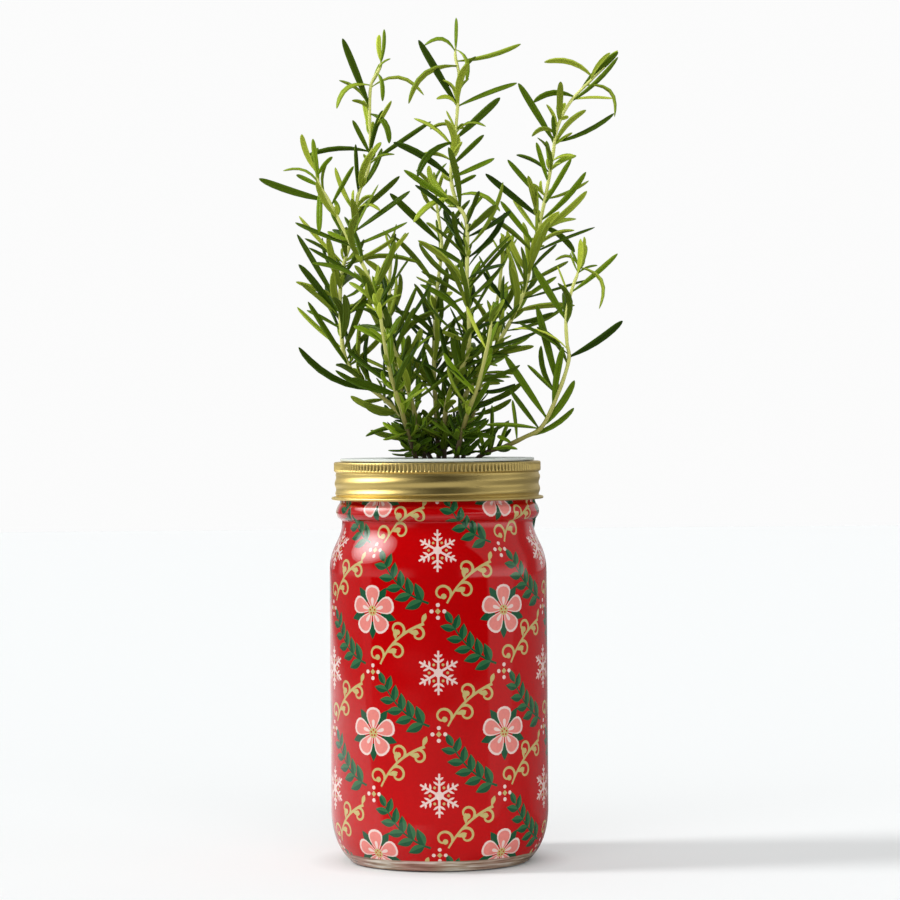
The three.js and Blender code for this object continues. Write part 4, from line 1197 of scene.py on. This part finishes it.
# Rosemary
# Stem points, leaf tips and leaf lengths are those of the solids. Heights are above the lid's top.
# A root is the stem's place in the medium, in shares of the medium's radius.
# A reach is one leaf that stands out: (height on the stem, tip x, tip y, tip height, arch).
SPRIGS = {
    "sprig_left_tall": dict(
        leaf=27,
        root=(-0.08, 0.15),
        stem=[
            (-16.7, 9, 19.6), (-36.7, 14, 38.2), (-40.6, 16, 58), (-39.9, 17, 79),
            (-33.9, 17, 99), (-33, 17, 111), (-27.8, 16, 125.6), (-27.6, 15, 146.4),
            (-26.9, 14, 158), (-23.3, 13, 165), (-22, 13, 170),
        ],
        reaches=[
            (149, -38.8, 12, 177.7, 0), (158, -41.5, 12, 148, 0.5), (157, -4.5, 16, 153.8, 0.5),
            (167, -21.1, 12, 181.5, -0.1), (163, -21.9, 6, 150.4, 0.5), (146, -19.3, 8, 132.8, 0.4),
            (130, -54.6, 14, 128.1, 0.15), (125, -1.6, 20, 143, 0), (96, -10.7, 12, 113, 0),
            (58, -58.3, 15, 82.4, 0.05), (64, -58.7, 12, 95, 0), (38, -54.2, 10, 66.4, 0),
            (29, -58.1, 6, 47.1, -0.2),
        ],
    ),
    "sprig_centre_tall": dict(
        leaf=27,
        root=(0.13, -0.14),
        stem=[
            (4.1, -5, 22.7), (10.5, -7, 37.4), (13.7, -8, 48), (13, -9, 73),
            (13, -9, 97.5), (8.9, -8, 106.7), (6.6, -7, 118), (8.4, -6, 133), (9.6, -5, 146.4),
            (10.3, -4, 160), (8.9, -3, 168), (9.2, -3, 174),
        ],
        reaches=[
            (170, 9.3, -3, 185, 0), (166, 36.3, -6, 172.7, -0.1), (147, -6.5, -5, 174.8, 0),
            (164, -10.8, -8, 147.9, 0.4), (147, 34.6, -4, 156.7, 0.05), (133, 27.4, -10, 150, 0),
            (170, -4.3, -2, 172.7, 0.6), (171, 13.4, -8, 157, 0.5), (129, -8.7, -4, 142.2, 0.2),
            (135, 21.4, -8, 138.2, 0.5), (132, -7.2, -12, 117.2, 0.3), (122, 20.6, -6, 134.9, 0),
            (109, 27, -12, 102.5, 0.4), (109, -9.1, -11, 98.3, 0.25), (117, -17.3, -6, 132, 0.1),
        ],
    ),
    "sprig_right_tall": dict(
        leaf=27,
        root=(0.37, 0.14),
        stem=[
            (9.8, 4, 18.5), (12.5, 5, 27), (18.7, 7, 37.4), (27.1, 9, 50),
            (36.7, 11, 68.7), (42.5, 12, 92), (46.4, 12, 109), (49.7, 12, 126.5), (51.8, 12, 139),
            (57.1, 11, 149.6), (66, 10, 159), (72, 9, 164.5),
        ],
        reaches=[
            (155, 79.4, 8, 172.4, 0.05), (152, 41.7, 8, 149.6, 0.3), (160, 46.4, 10, 166.8, 0.3),
            (157, 76.5, 7, 142.4, 0.6), (133, 76, 14, 145.4, -0.1), (133, 35.4, 10, 158, 0),
            (131, 64.3, 16, 147, 0.2), (108, 30.6, 8, 125.6, 0), (101, 21.3, 14, 120.2, 0),
            (100, 63.7, 8, 120.2, -0.1), (121, 60, 16, 127.7, 0.2), (106, 57.5, 6, 125.6, 0),
            (120, 34.4, 14, 128, 0.15), (90, 27.5, 6, 108, 0), (98, 58.9, 14, 86.6, 0.2),
        ],
    ),
    "sprig_left_low": dict(
        leaf=28,
        root=(-0.22, -0.24),
        stem=[
            (-9.5, -9, 20), (-14.6, -13, 37.2), (-21.3, -17, 56), (-28.5, -19, 77),
            (-35.2, -20, 89.5), (-43.4, -20, 106), (-48, -19, 114), (-49.6, -18, 121),
        ],
        reaches=[
            (107, -72.5, -24, 116, -0.05), (114, -50.4, -18, 132.8, 0), (113, -63, -16, 119.7, 0.4),
            (117, -42.2, -21, 125, 0.1), (113, -47.8, -27, 93.3, 0.2), (88, -58.1, -16, 98.3, 0),
            (13, -29.8, -8, 9.3, 0.15), (27, -42.1, -10, 37, -0.15),
        ],
    ),
    "sprig_right_low": dict(
        leaf=25,
        root=(0.7, -0.24),
        stem=[
            (21.5, -7, 2.6), (28, -9, 4.6), (36.4, -12, 8.5),
            (43.8, -14, 13), (50.6, -16, 27), (54.9, -17, 40.4), (54.2, -17, 48), (54, -17, 59),
            (56.6, -16, 70), (58.8, -15, 76), (59.6, -14, 81),
        ],
        reaches=[
            (41.6, 78.4, -20, 57.2, -0.08), (68.5, 75.7, -14, 84.5, -0.05),
            (79, 67.6, -18, 61.4, 0.6), (80, 60.4, -14, 90.8, 0), (16.4, 28.4, -18, 42.5, 0),
            (27.8, 41.9, -12, 63.5, 0), (21.5, 52.4, -22, 45.8, 0.05),
            (12.2, 57.3, -15, 32, -0.1), (9, 57.2, -10, 20.6, -0.15), (57, 40.8, -14, 79, 0),
            (79, 49.7, -12, 82, 0.6),
        ],
    ),
    "sprig_back_centre": dict(
        leaf=26,
        root=(0.03, 0.47),
        stem=[
            (-0.7, 15, 24), (-1.1, 20, 44), (0, 26, 68), (2.4, 30, 90), (0.7, 32, 107),
            (-0.4, 33, 116),
        ],
        reaches=[(92, -19.5, 26, 113, 0)],
    ),
    "sprig_back_left": dict(
        leaf=25,
        root=(-0.38, 0.4),
        stem=[(-14, 16, 24), (-19, 24, 48), (-20, 30, 74), (-18.6, 34, 92)],
        reaches=[],
    ),
    "sprig_back_right": dict(
        leaf=25,
        root=(0.47, 0.48),
        stem=[(17, 19, 25), (23, 28, 48), (27, 35, 72), (29, 40, 90)],
        reaches=[(80, 34, 53.8, 98, 0)],
    ),
    "sprig_front_left": dict(
        leaf=22,
        root=(-0.38, -0.53),
        stem=[(-14, -20, 18), (-19, -29, 36), (-22, -37, 54), (-23, -42, 66)],
        reaches=[],
    ),
    "sprig_front_right": dict(
        leaf=22,
        root=(0.33, -0.61),
        stem=[(12, -23, 16), (17, -33, 30), (21, -41, 46), (23, -47, 58)],
        reaches=[],
    ),
}
ROOT_DEPTH = 18.0
STEM_RADIUS = 1.75
STEM_TIP_RADIUS = 0.7
STEM_SHOWN_RADII = (1.1, 0.62)
STEM_POINT_RUN = 7.0
STEM_POINT_SHARE = 0.35
STEM_SIDES = 10
STEM_GREEN_RUN = 80.0
FIRST_PAIR_HEIGHT = 8.0
LEAF_HALF_WIDTH = 1.75
LEAF_FULL_LENGTH = 26.0
LEAF_SPACING = 11.0
LEAF_GAP = 0.5
LEAF_SELF_GAP = 0.1
LEAF_FREE_DISTANCE = 9.0
LEAF_LID_GAP = 0.9
LEAF_ATTEMPTS = 7
BALL_SPACING = 2.0
UP = Vector((0, 0, 1))
RIGHT = Vector((1, 0, 0))


def mix(a, b, share):
    return a + (b - a) * share


def scatter(n):
    """A fixed spread of values from 0 to 1, one for each number."""
    wave = math.sin(n * 12.9898 + 4.1414) * 43758.5453
    return wave - math.floor(wave)


def vary(most, n):
    return mix(-most, most, scatter(n))


def smooth_line(points, steps):
    """A smooth curve through points, with so many steps between each two."""
    ends = [points[0] * 2 - points[1], *points, points[-1] * 2 - points[-2]]
    line = [points[0]]
    for k in range(1, len(points)):
        a, b, c, d = ends[k - 1:k + 3]
        for j in range(1, steps + 1):
            t = j / steps
            start, end = (c - a) / 2, (d - b) / 2
            bend = (c - b) * 3 - start * 2 - end
            close = (b - c) * 2 + start + end
            line.append(b + start * t + bend * t * t + close * t * t * t)
    return line


def run_along(line):
    """The distance run at each point of a line."""
    run = [0]
    for a, b in zip(line, line[1:]):
        run.append(run[-1] + (b - a).length)
    return run


def grow_stem(sprig):
    """The stem's middle line, coarse for its leaves and fine for its looks.
    With it comes the distance run along the coarse one."""
    spread = pot_inside(MEDIUM_TOP_Z) - MEDIUM_GAP
    root = [share * spread for share in sprig["root"]]
    points = [Vector((*root, LID_TOP_Z - ROOT_DEPTH)), Vector((*root, MEDIUM_TOP_Z))]
    points += [Vector((x, y, z + LID_TOP_Z)) for x, y, z in sprig["stem"]]
    line = smooth_line(points, 2)
    run = run_along(line)
    return dict(line=line, run=run, length=run[-1], fine=smooth_line(points, 10))


def stem_at(stem, distance):
    """The place and direction at a distance along a stem."""
    k = 1
    while k < len(stem["line"]) - 1 and stem["run"][k] < distance:
        k += 1
    a, b = stem["line"][k - 1], stem["line"][k]
    share = (distance - stem["run"][k - 1]) / (stem["run"][k] - stem["run"][k - 1])
    return a + (b - a) * share, (b - a).normalized()


def distance_at(stem, height):
    """The distance along a stem at which it first reaches a height."""
    k = next(i for i, point in enumerate(stem["line"]) if point.z >= height)
    low, high = stem["line"][k - 1], stem["line"][k]
    return mix(stem["run"][k - 1], stem["run"][k], (height - low.z) / (high.z - low.z))


def stem_radius(stem, distance):
    return mix(STEM_RADIUS, STEM_TIP_RADIUS, distance / stem["length"])


def across_stem(along):
    """Two directions square to a stem, the first as near +X as it can be."""
    side = (RIGHT - along * along.x).normalized()
    return side, along.cross(side)


def leaf_of(stem, distance, run, bulge, face, twist):
    """A leaf that runs from the stem and bulges to one side halfway. Its upper side faces face."""
    edge = face.cross(run).normalized()
    edge.rotate(Quaternion(run.normalized(), twist))
    length = run.length
    half = LEAF_HALF_WIDTH * mix(0.55, 1, min(1, length / LEAF_FULL_LENGTH))
    foot = stem_at(stem, distance)[0]
    return dict(distance=distance, foot=foot, run=run, bulge=bulge, edge=edge, length=length,
                half=half)


def leaf_point(leaf, t):
    return leaf["foot"] + leaf["run"] * t + leaf["bulge"] * (t - t * t)


class Space:
    """Balls that stand for the space that stems and leaves take."""

    def __init__(self):
        self.balls = np.zeros((0, 6))

    @staticmethod
    def along(place, radius, length, owner, free_from):
        steps = math.ceil(length / BALL_SPACING)
        return np.array([
            (*place(k / steps), radius(k / steps), owner, k / steps * length >= free_from)
            for k in range(steps + 1)
        ])

    def is_clear(self, balls):
        if (balls[:, 2] - balls[:, 3]).min() < LID_TOP_Z + LEAF_LID_GAP:
            return False
        if not len(self.balls):
            return True
        gaps = np.linalg.norm(balls[:, None, :3] - self.balls[None, :, :3], axis=2)
        same = balls[:, None, 4] == self.balls[None, :, 4]
        tested = ~same | ((balls[:, None, 5] > 0) & (self.balls[None, :, 5] > 0))
        least = balls[:, None, 3] + self.balls[None, :, 3] + np.where(same, LEAF_SELF_GAP, LEAF_GAP)
        return not (tested & (gaps <= least)).any()

    def add(self, balls):
        self.balls = np.concatenate([self.balls, balls])


def place_leaf(leaves, space, owner, make):
    """Places a leaf where it has room, turned about the stem and cut back until it has some."""
    for attempt in range(LEAF_ATTEMPTS):
        turn = 0.4 * math.ceil(attempt / 2) * (1 if attempt % 2 else -1)
        leaf = make(turn, 1 - 0.06 * attempt)
        balls = space.along(lambda t: leaf_point(leaf, t), lambda t: leaf["half"],
                            leaf["length"], owner, LEAF_FREE_DISTANCE)
        if space.is_clear(balls):
            leaves.append(leaf)
            space.add(balls)
            return


def reach_leaf(stem, reach, twist, turn=0, cut=1):
    height, x, y, z, arch = reach
    distance = distance_at(stem, LID_TOP_Z + height)
    run = Vector((x, y, z + LID_TOP_Z)) - stem_at(stem, distance)[0]
    run.rotate(Quaternion(UP, turn))
    run *= cut
    face = (UP - run * (UP.dot(run) / run.length_squared)).normalized()
    return leaf_of(stem, distance, run, face * (arch * run.length), face, twist)


def add_reaches(sprig, order, stem, leaves, space):
    """The leaves that stand out."""
    for k, reach in enumerate(sprig["reaches"]):
        twist = vary(1.2, order * 100 + k)
        place_leaf(leaves, space, order,
                   lambda turn, cut: reach_leaf(stem, reach, twist, turn, cut))


def pair_leaf(stem, distance, along, out, pitch, droop, length, twist):
    """A leaf of a pair, which leaves the stem at a pitch and droops."""
    start = along * math.cos(pitch) + out * math.sin(pitch)
    bend = out * math.cos(pitch) - along * math.sin(pitch)
    run = (start + bend * droop) * length
    return leaf_of(stem, distance, run, bend * (-droop * length), -bend, twist)


def add_pairs(sprig, order, stem, reaches, leaves, space):
    """Opposite pairs of leaves, each pair a quarter turn from the last."""
    first = distance_at(stem, LID_TOP_Z + FIRST_PAIR_HEIGHT)
    pairs = math.floor((stem["length"] - first) / LEAF_SPACING)
    for pair in range(pairs + 1):
        distance = min(stem["length"] - 1, first + pair * LEAF_SPACING)
        height = pair / pairs
        along = stem_at(stem, distance)[1]
        side, back = across_stem(along)
        for hand in range(2):
            seed = order * 1000 + pair * 20 + hand * 8 + 300
            azimuth = math.pi * (pair / 2 + hand) + vary(0.5, seed)
            pitch = (0.5 if pair == pairs else 1) * mix(0.95, 0.5, height)
            pitch *= 1 + vary(0.2, seed + 1)
            share = mix(0.7, 1, min(1, height * 2.5)) * mix(1, 0.5, max(0, 1 - (1 - height) * 2.5))
            length = sprig["leaf"] * share * (1 + vary(0.2, seed + 4))
            droop = mix(-0.2, 0.25, scatter(seed + 2)) + 0.2 * height * height
            twist = vary(0.9, seed + 3)

            def out_at(angle):
                return side * math.cos(angle) + back * math.sin(angle)

            if any(abs(leaf["distance"] - distance) < LEAF_SPACING * 0.6
                   and leaf["run"].dot(out_at(azimuth)) > 0.4 * leaf["length"] for leaf in reaches):
                continue
            place_leaf(leaves, space, order, lambda turn, cut: pair_leaf(
                stem, distance, along, out_at(azimuth + turn), pitch, droop, length * cut, twist))


# Fine leaves that the solids leave out: a crown at the foot, dark as old leaves and as painted
# shade, leaves between the pairs of the lower part, young tufts in the axils, tips, and single ones
# given like a sprig's reaches
CROWN_LEAVES = 24
CROWN_START = 0.8
CROWN_RUN = 15.0
FOOT_LEAVES = 2
FOOT_RUN = 26.0
BETWEEN_START = 16.0
BETWEEN_SPACING = 4.4
BETWEEN_SHARE = 0.58
TUFT_SPACING = 11.0
TUFT_LEAVES = 3
TIP_LEAVES = 6
TUFTED_LENGTH = 140.0
SKIRT_HEIGHT = 62.0
SKIRT_RADII = (30.0, 50.0)
BOX_MARGIN = 0.1
LEAF_TURN = 2.4
CROWN_SEED = 20000
BETWEEN_SEED = 30000
TUFT_SEED = 50000
LEAF_SEED = 60000
REACH_SEED = 70000
TIP_SEED = 80000
SMALL_REACHES = {
    "sprig_left_tall": [
        (164, -18.5, 12, 169, 0.3), (148, -35, 12, 151.5, 0.25), (127.7, -22, 10, 147, 0.1),
        (129, -34.8, 12, 143.1, 0), (112, -33.5, 10, 132.8, 0), (124, -17.1, 14, 128.7, 0.3),
        (106, -26, 10, 111, 0.3), (106, -23.3, 12, 104.6, 0.4),
    ],
    "sprig_centre_tall": [
        (150, 3.5, -6, 158, 0.3), (147, 0.8, -6, 150, 0.5), (150, 14.5, -6, 158.5, 0.3),
        (138, -2, -5, 137.5, 0.35), (124, -6, -4, 127, 0.25), (117, 24.9, -6, 125.1, 0),
        (113, 17.2, -8, 118, 0), (104, -13, -8, 120.3, 0),
    ],
    "sprig_right_tall": [
        (150, 77.6, 8, 168.5, -0.1), (161, 77.6, 10, 171.5, 0.1), (134, 49.9, 8, 144, 0),
        (136.5, 40.9, 9, 135.4, 0.5), (137, 47.3, 10, 149, 0.25), (116, 42.8, 8, 132.8, 0),
        (125, 58.9, 8, 127, 0.25),
    ],
    "sprig_left_low": [(113, -57.5, -16, 118, 0), (105, -33.5, -22, 121, 0)],
    "sprig_right_low": [
        (12, 30.6, -16, 28.2, 0), (26, 37.7, -18, 38.5, 0), (7, 31.5, -15, 24, 0.1),
        (3, 23, -10, 22, 0), (2, 17.2, -9, 12.5, 0), (12, 20.4, -18, 13.7, 0.05),
        (2.4, 33.5, -14, 3.6, 0.15), (4, 30, -13, 15, 0.1), (6, 25, -15, 9, 0.1),
    ],
}
BROAD_REACHES = {
    "sprig_left_tall": (0, 5, 9, 12), "sprig_centre_tall": (2, 5, 10, 14),
    "sprig_right_tall": (0, 1, 5, 8, 14), "sprig_left_low": (0,),
    "sprig_right_low": (0, 4, 5, 6, 7, 9), "sprig_back_centre": (0,),
}
BROAD_WIDTH = 0.9
STRAIGHT_WIDTH = 0.82
ARCHED_WIDTH = 0.95
STRAIGHT_ARCH = 0.2
REACH_ARCH = 2.2
REACH_CUTS = (1, 0.95, 0.9, 0.85, 0.8)
DEPTH = Vector((0, 1, 0))


def inside_box(leaf):
    """Whether a leaf stays above the lid and inside the box."""
    low, high = [np.array(corner) / MM for corner in CAD_BOX]
    low[2] = LID_TOP_Z
    places = np.array([leaf_point(leaf, t) for t in (0.3, 0.5, 0.8, 1.0)])
    widths = leaf["half"] * np.array([[1], [1], [0.95], [0.1]])
    room = widths * [1, 1, abs(leaf["edge"].z) + 0.5] + BOX_MARGIN
    return bool((places > low + room).all() and (places < high - room).all())


def inside_skirt(leaf):
    """Whether a leaf keeps to the plant's narrow foot."""
    tip = leaf_point(leaf, 1)
    rise = (tip.z - LID_TOP_Z) / SKIRT_HEIGHT
    return rise > 1 or math.hypot(tip.x, tip.y) < mix(*SKIRT_RADII, rise)


def side_leaf(stem, distance, azimuth, pitch, droop, length, twist):
    """A leaf at any turn around a stem."""
    along = stem_at(stem, distance)[1]
    side, back = across_stem(along)
    out = side * math.cos(azimuth) + back * math.sin(azimuth)
    return pair_leaf(stem, distance, along, out, pitch, droop, length, twist)


def add_shown_reaches(name, sprig, order, stem):
    """The leaves that stand out, at their full length: some broad, dark and turned to the front,
    the others slim, and the arched ones bright."""
    leaves = []
    for k, reach in enumerate(sprig["reaches"] + SMALL_REACHES.get(name, [])):
        seed = REACH_SEED + order * 100 + k
        broad = k in BROAD_REACHES.get(name, ())
        straight = abs(reach[4]) < STRAIGHT_ARCH
        for cut in REACH_CUTS:
            leaf = reach_leaf(stem, reach, vary(0.9, seed), cut=cut)
            leaf["bulge"] *= REACH_ARCH
            young = ease(0.85, 1, leaf["distance"] / stem["length"])
            if straight or broad:
                leaf["edge"] = leaf["run"].cross(DEPTH).normalized()
            if broad:
                leaf["edge"].rotate(Quaternion(leaf["run"].normalized(), vary(0.5, seed)))
                leaf["half"] *= BROAD_WIDTH
                leaf["tone"] = mix(0.02, 0.28, scatter(seed + 0.5))
            elif straight:
                turn = mix(0.5, 1.1, scatter(seed + 0.7)) * (1 if k % 2 else -1)
                leaf["edge"].rotate(Quaternion(leaf["run"].normalized(), turn))
                leaf["half"] *= STRAIGHT_WIDTH
                leaf["tone"] = mix(0.1, 0.45, scatter(seed + 0.5)) + 0.35 * young
            else:
                leaf["half"] *= ARCHED_WIDTH
                leaf["tone"] = mix(0.4, 0.85, scatter(seed + 0.5))
            if inside_box(leaf):
                leaves.append(leaf)
                break
    return leaves


def add_fine_leaves(order, stem, full_length):
    """The crown, the leaves between the pairs, the tufts and the tip of one sprig."""
    leaves = []

    def add(tone=None, **shape):
        leaf = side_leaf(stem, **shape)
        if tone is not None:
            leaf["tone"] = tone
        leaves.append(leaf)

    start = distance_at(stem, LID_TOP_Z + CROWN_START)
    # The crown's leaves are the darkest, as old leaves and as painted shade at the plant's foot.
    for k in range(CROWN_LEAVES + FOOT_LEAVES):
        seed = CROWN_SEED + order * 200 + k * 6
        crown = k < CROWN_LEAVES
        place = CROWN_RUN * scatter(seed) ** 1.8 if crown else FOOT_RUN * scatter(seed)
        add(distance=start + place, azimuth=LEAF_TURN * k + vary(0.6, seed + 1),
            pitch=mix(0.35, 1.5, scatter(seed + 2)), droop=mix(-0.35, 0.1, scatter(seed + 3)),
            length=mix(5, 12, scatter(seed + 4)) * (1 if crown else 1.5),
            twist=vary(0.9, seed + 5), tone=(0.06 if crown else 0.25) * scatter(seed + 2))
    first = distance_at(stem, LID_TOP_Z + FIRST_PAIR_HEIGHT)
    length = stem["length"] - first
    for k in range(math.floor((length * BETWEEN_SHARE - BETWEEN_START) / BETWEEN_SPACING)):
        for hand in range(2):
            seed = BETWEEN_SEED + order * 1000 + k * 12 + hand * 6
            add(distance=first + BETWEEN_START + k * BETWEEN_SPACING,
                azimuth=1.2 * k + math.pi * hand + vary(0.6, seed),
                pitch=0.85 * (1 + vary(0.3, seed + 2)), droop=vary(0.25, seed + 3) + 0.1,
                length=full_length * 0.9 * (1 + vary(0.3, seed + 1)), twist=vary(0.9, seed + 4))
    for k in range(math.floor(length * 0.9 / TUFT_SPACING)):
        for j in range(TUFT_LEAVES):
            seed = TUFT_SEED + order * 1000 + k * 30 + j * 5
            distance = first + 1 + k * TUFT_SPACING
            add(distance=distance, azimuth=math.pi * (k / 2 + j % 2) + vary(0.7, seed),
                pitch=mix(0.3, 1.1, scatter(seed + 2)), droop=vary(0.3, seed + 3),
                length=mix(4, 10, scatter(seed + 1)), twist=vary(0.8, seed + 4),
                tone=mix(0.4, 0.85, scatter(seed)) * ease(-0.1, 0.6, distance / stem["length"]))
    for k in range(0 if stem["length"] > TUFTED_LENGTH else TIP_LEAVES):
        seed = TIP_SEED + order * 100 + k * 5
        share = k / TIP_LEAVES
        add(distance=stem["length"] - mix(0.5, 6, share), azimuth=LEAF_TURN * k + vary(0.5, seed),
            pitch=mix(0.25, 0.9, share), droop=vary(0.3, seed + 1),
            length=mix(6, 12, scatter(seed + 2)), twist=vary(0.8, seed + 3),
            tone=mix(0.3, 0.75, scatter(seed + 4)))
    return leaves


# A leaf's section, as shares of its half width: a grooved top, rolled edges and a raised rib below
LEAF_TOP = [(-1, -0.14), (-0.86, 0.1), (-0.5, 0.2), (-0.12, 0.16), (0, 0.05), (0.12, 0.16),
            (0.5, 0.2), (0.86, 0.1), (1, -0.14)]
LEAF_UNDER = [(0.8, -0.34), (0.5, -0.16), (0.14, -0.1), (0, -0.24), (-0.14, -0.1), (-0.5, -0.16),
              (-0.8, -0.34)]
# Shares towards each margin, which the leaf material paints paler, partly as rolled edges and
# partly as painted sheen.
RIM_SHARES = [max(0, abs(x) - 0.55) for x, _ in LEAF_TOP + LEAF_UNDER]
LEAF_WIDTHS = [(0, 0.32), (0.06, 0.35), (0.16, 0.58), (0.3, 0.82), (0.48, 0.97), (0.65, 1.0),
               (0.8, 0.93), (0.9, 0.76), (0.96, 0.5), (0.99, 0.24), (1.0, 0.05)]
LEAF_SLIMMEST = 0.66
LEAF_FULLEST = 1.02
LEAF_THICKNESS = 1.45
LEAF_BEND = 0.4


def bent(leaf, seed):
    """The same leaf with a bend of its own."""
    side = leaf["edge"] * vary(LEAF_BEND, seed + 0.3)
    rise = leaf["run"].cross(leaf["edge"]).normalized() * vary(LEAF_BEND, seed + 0.6)
    half = leaf["half"] * mix(LEAF_SLIMMEST, LEAF_FULLEST, scatter(seed))
    return dict(leaf, bulge=leaf["bulge"] + (side + rise) * leaf["length"], half=half)


def leaf_mesh(leaf):
    """Points and faces of one leaf, and which faces lie on its under side."""
    section = LEAF_TOP + LEAF_UNDER
    points = []
    for t, width in LEAF_WIDTHS:
        along = (leaf["run"] + leaf["bulge"] * (1 - 2 * t)).normalized()
        edge = (leaf["edge"] - along * leaf["edge"].dot(along)).normalized()
        up = along.cross(edge)
        middle = leaf_point(leaf, t)
        half = leaf["half"] * width
        points += [tuple(middle + edge * (x * half) + up * (y * half * LEAF_THICKNESS))
                   for x, y in section]
    lower = [float(j >= len(LEAF_TOP) - 1) for j in range(len(section))]
    under = lower * (len(LEAF_WIDTHS) - 1) + [1.0, 1.0]
    return points, skin(len(LEAF_WIDTHS), len(section)), under


def leaf_tone(leaf, stem, seed):
    """0 for an old dark leaf to 1 for a young bright one."""
    if "tone" in leaf:
        return leaf["tone"]
    height = leaf["distance"] / stem["length"]
    return (mix(0.45, 0.9, ease(0.15, 0.6, height)) * scatter(seed) ** 2
            + ease(0.54, 0.94, height) * mix(0.05, 0.5, scatter(seed + 0.5)))


def make_sprig(name, sprig, order, stem, leaves, looks):
    """One sprig's stem and leaves as one piece."""
    fine = stem["fine"]
    run = run_along(fine)
    radii = [mix(*STEM_SHOWN_RADII, d / run[-1]) * (1 + 0.06 * math.sin(d * 0.57))
             * mix(STEM_POINT_SHARE, 1, ease(0, STEM_POINT_RUN, run[-1] - d)) for d in run]
    points, faces = tube(fine, radii, STEM_SIDES)
    grown = [min(1, max(0, (d - ROOT_DEPTH) / STEM_GREEN_RUN)) for d in run]
    tones = [tone for tone in grown for _ in range(STEM_SIDES)]
    picks = [1] * len(faces)
    under = [0.0] * len(faces)
    rims = [0.0] * len(points)
    loose = leaves + add_fine_leaves(order, stem, sprig["leaf"])
    shown = add_shown_reaches(name, sprig, order, stem)
    for k, leaf in enumerate(loose):
        curved = bent(leaf, LEAF_SEED + order * 500 + k)
        if inside_box(curved) and inside_skirt(curved):
            shown.append(curved)
    for k, leaf in enumerate(shown):
        seed = LEAF_SEED + order * 500 + k
        more, rings, lower = leaf_mesh(leaf)
        join(points, faces, more, rings)
        picks += [0] * len(rings)
        under += lower
        tones += [leaf_tone(leaf, stem, seed)] * len(more)
        rims += RIM_SHARES * len(LEAF_WIDTHS)
    obj = add_object(name.replace("sprig", "rosemary"), points, faces, looks, picks)
    for key, kind, values in (("tone", "POINT", tones), ("rim", "POINT", rims),
                              ("under", "FACE", under)):
        obj.data.attributes.new(key, "FLOAT", kind).data.foreach_set("value", values)
    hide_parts(name)
    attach(obj, "planter")


def make_rosemary():
    looks = [leaf_look(), stem_look()]
    stems = [grow_stem(sprig) for sprig in SPRIGS.values()]
    reaches, leaves = [[] for _ in stems], [[] for _ in stems]
    space = Space()
    for order, stem in enumerate(stems):
        length = stem["length"]
        space.add(space.along(lambda t: stem_at(stem, t * length)[0],
                              lambda t: stem_radius(stem, t * length), length, order, 0))
    for order, sprig in enumerate(SPRIGS.values()):
        add_reaches(sprig, order, stems[order], reaches[order], space)
    for order, sprig in enumerate(SPRIGS.values()):
        add_pairs(sprig, order, stems[order], reaches[order], leaves[order], space)
    for order, (name, sprig) in enumerate(SPRIGS.items()):
        make_sprig(name, sprig, order, stems[order], leaves[order], looks)


place_camera()
lay_floor()
light_world()
add_suns()
add_softbox()
make_glass()
make_sleeve()
make_band()
plastic = plastic_look()
make_lid(plastic)
make_pot(plastic)
make_medium(coir_look())
make_wick(felt_look())
make_rosemary()
bpy.context.scene.view_settings.view_transform = "Standard"
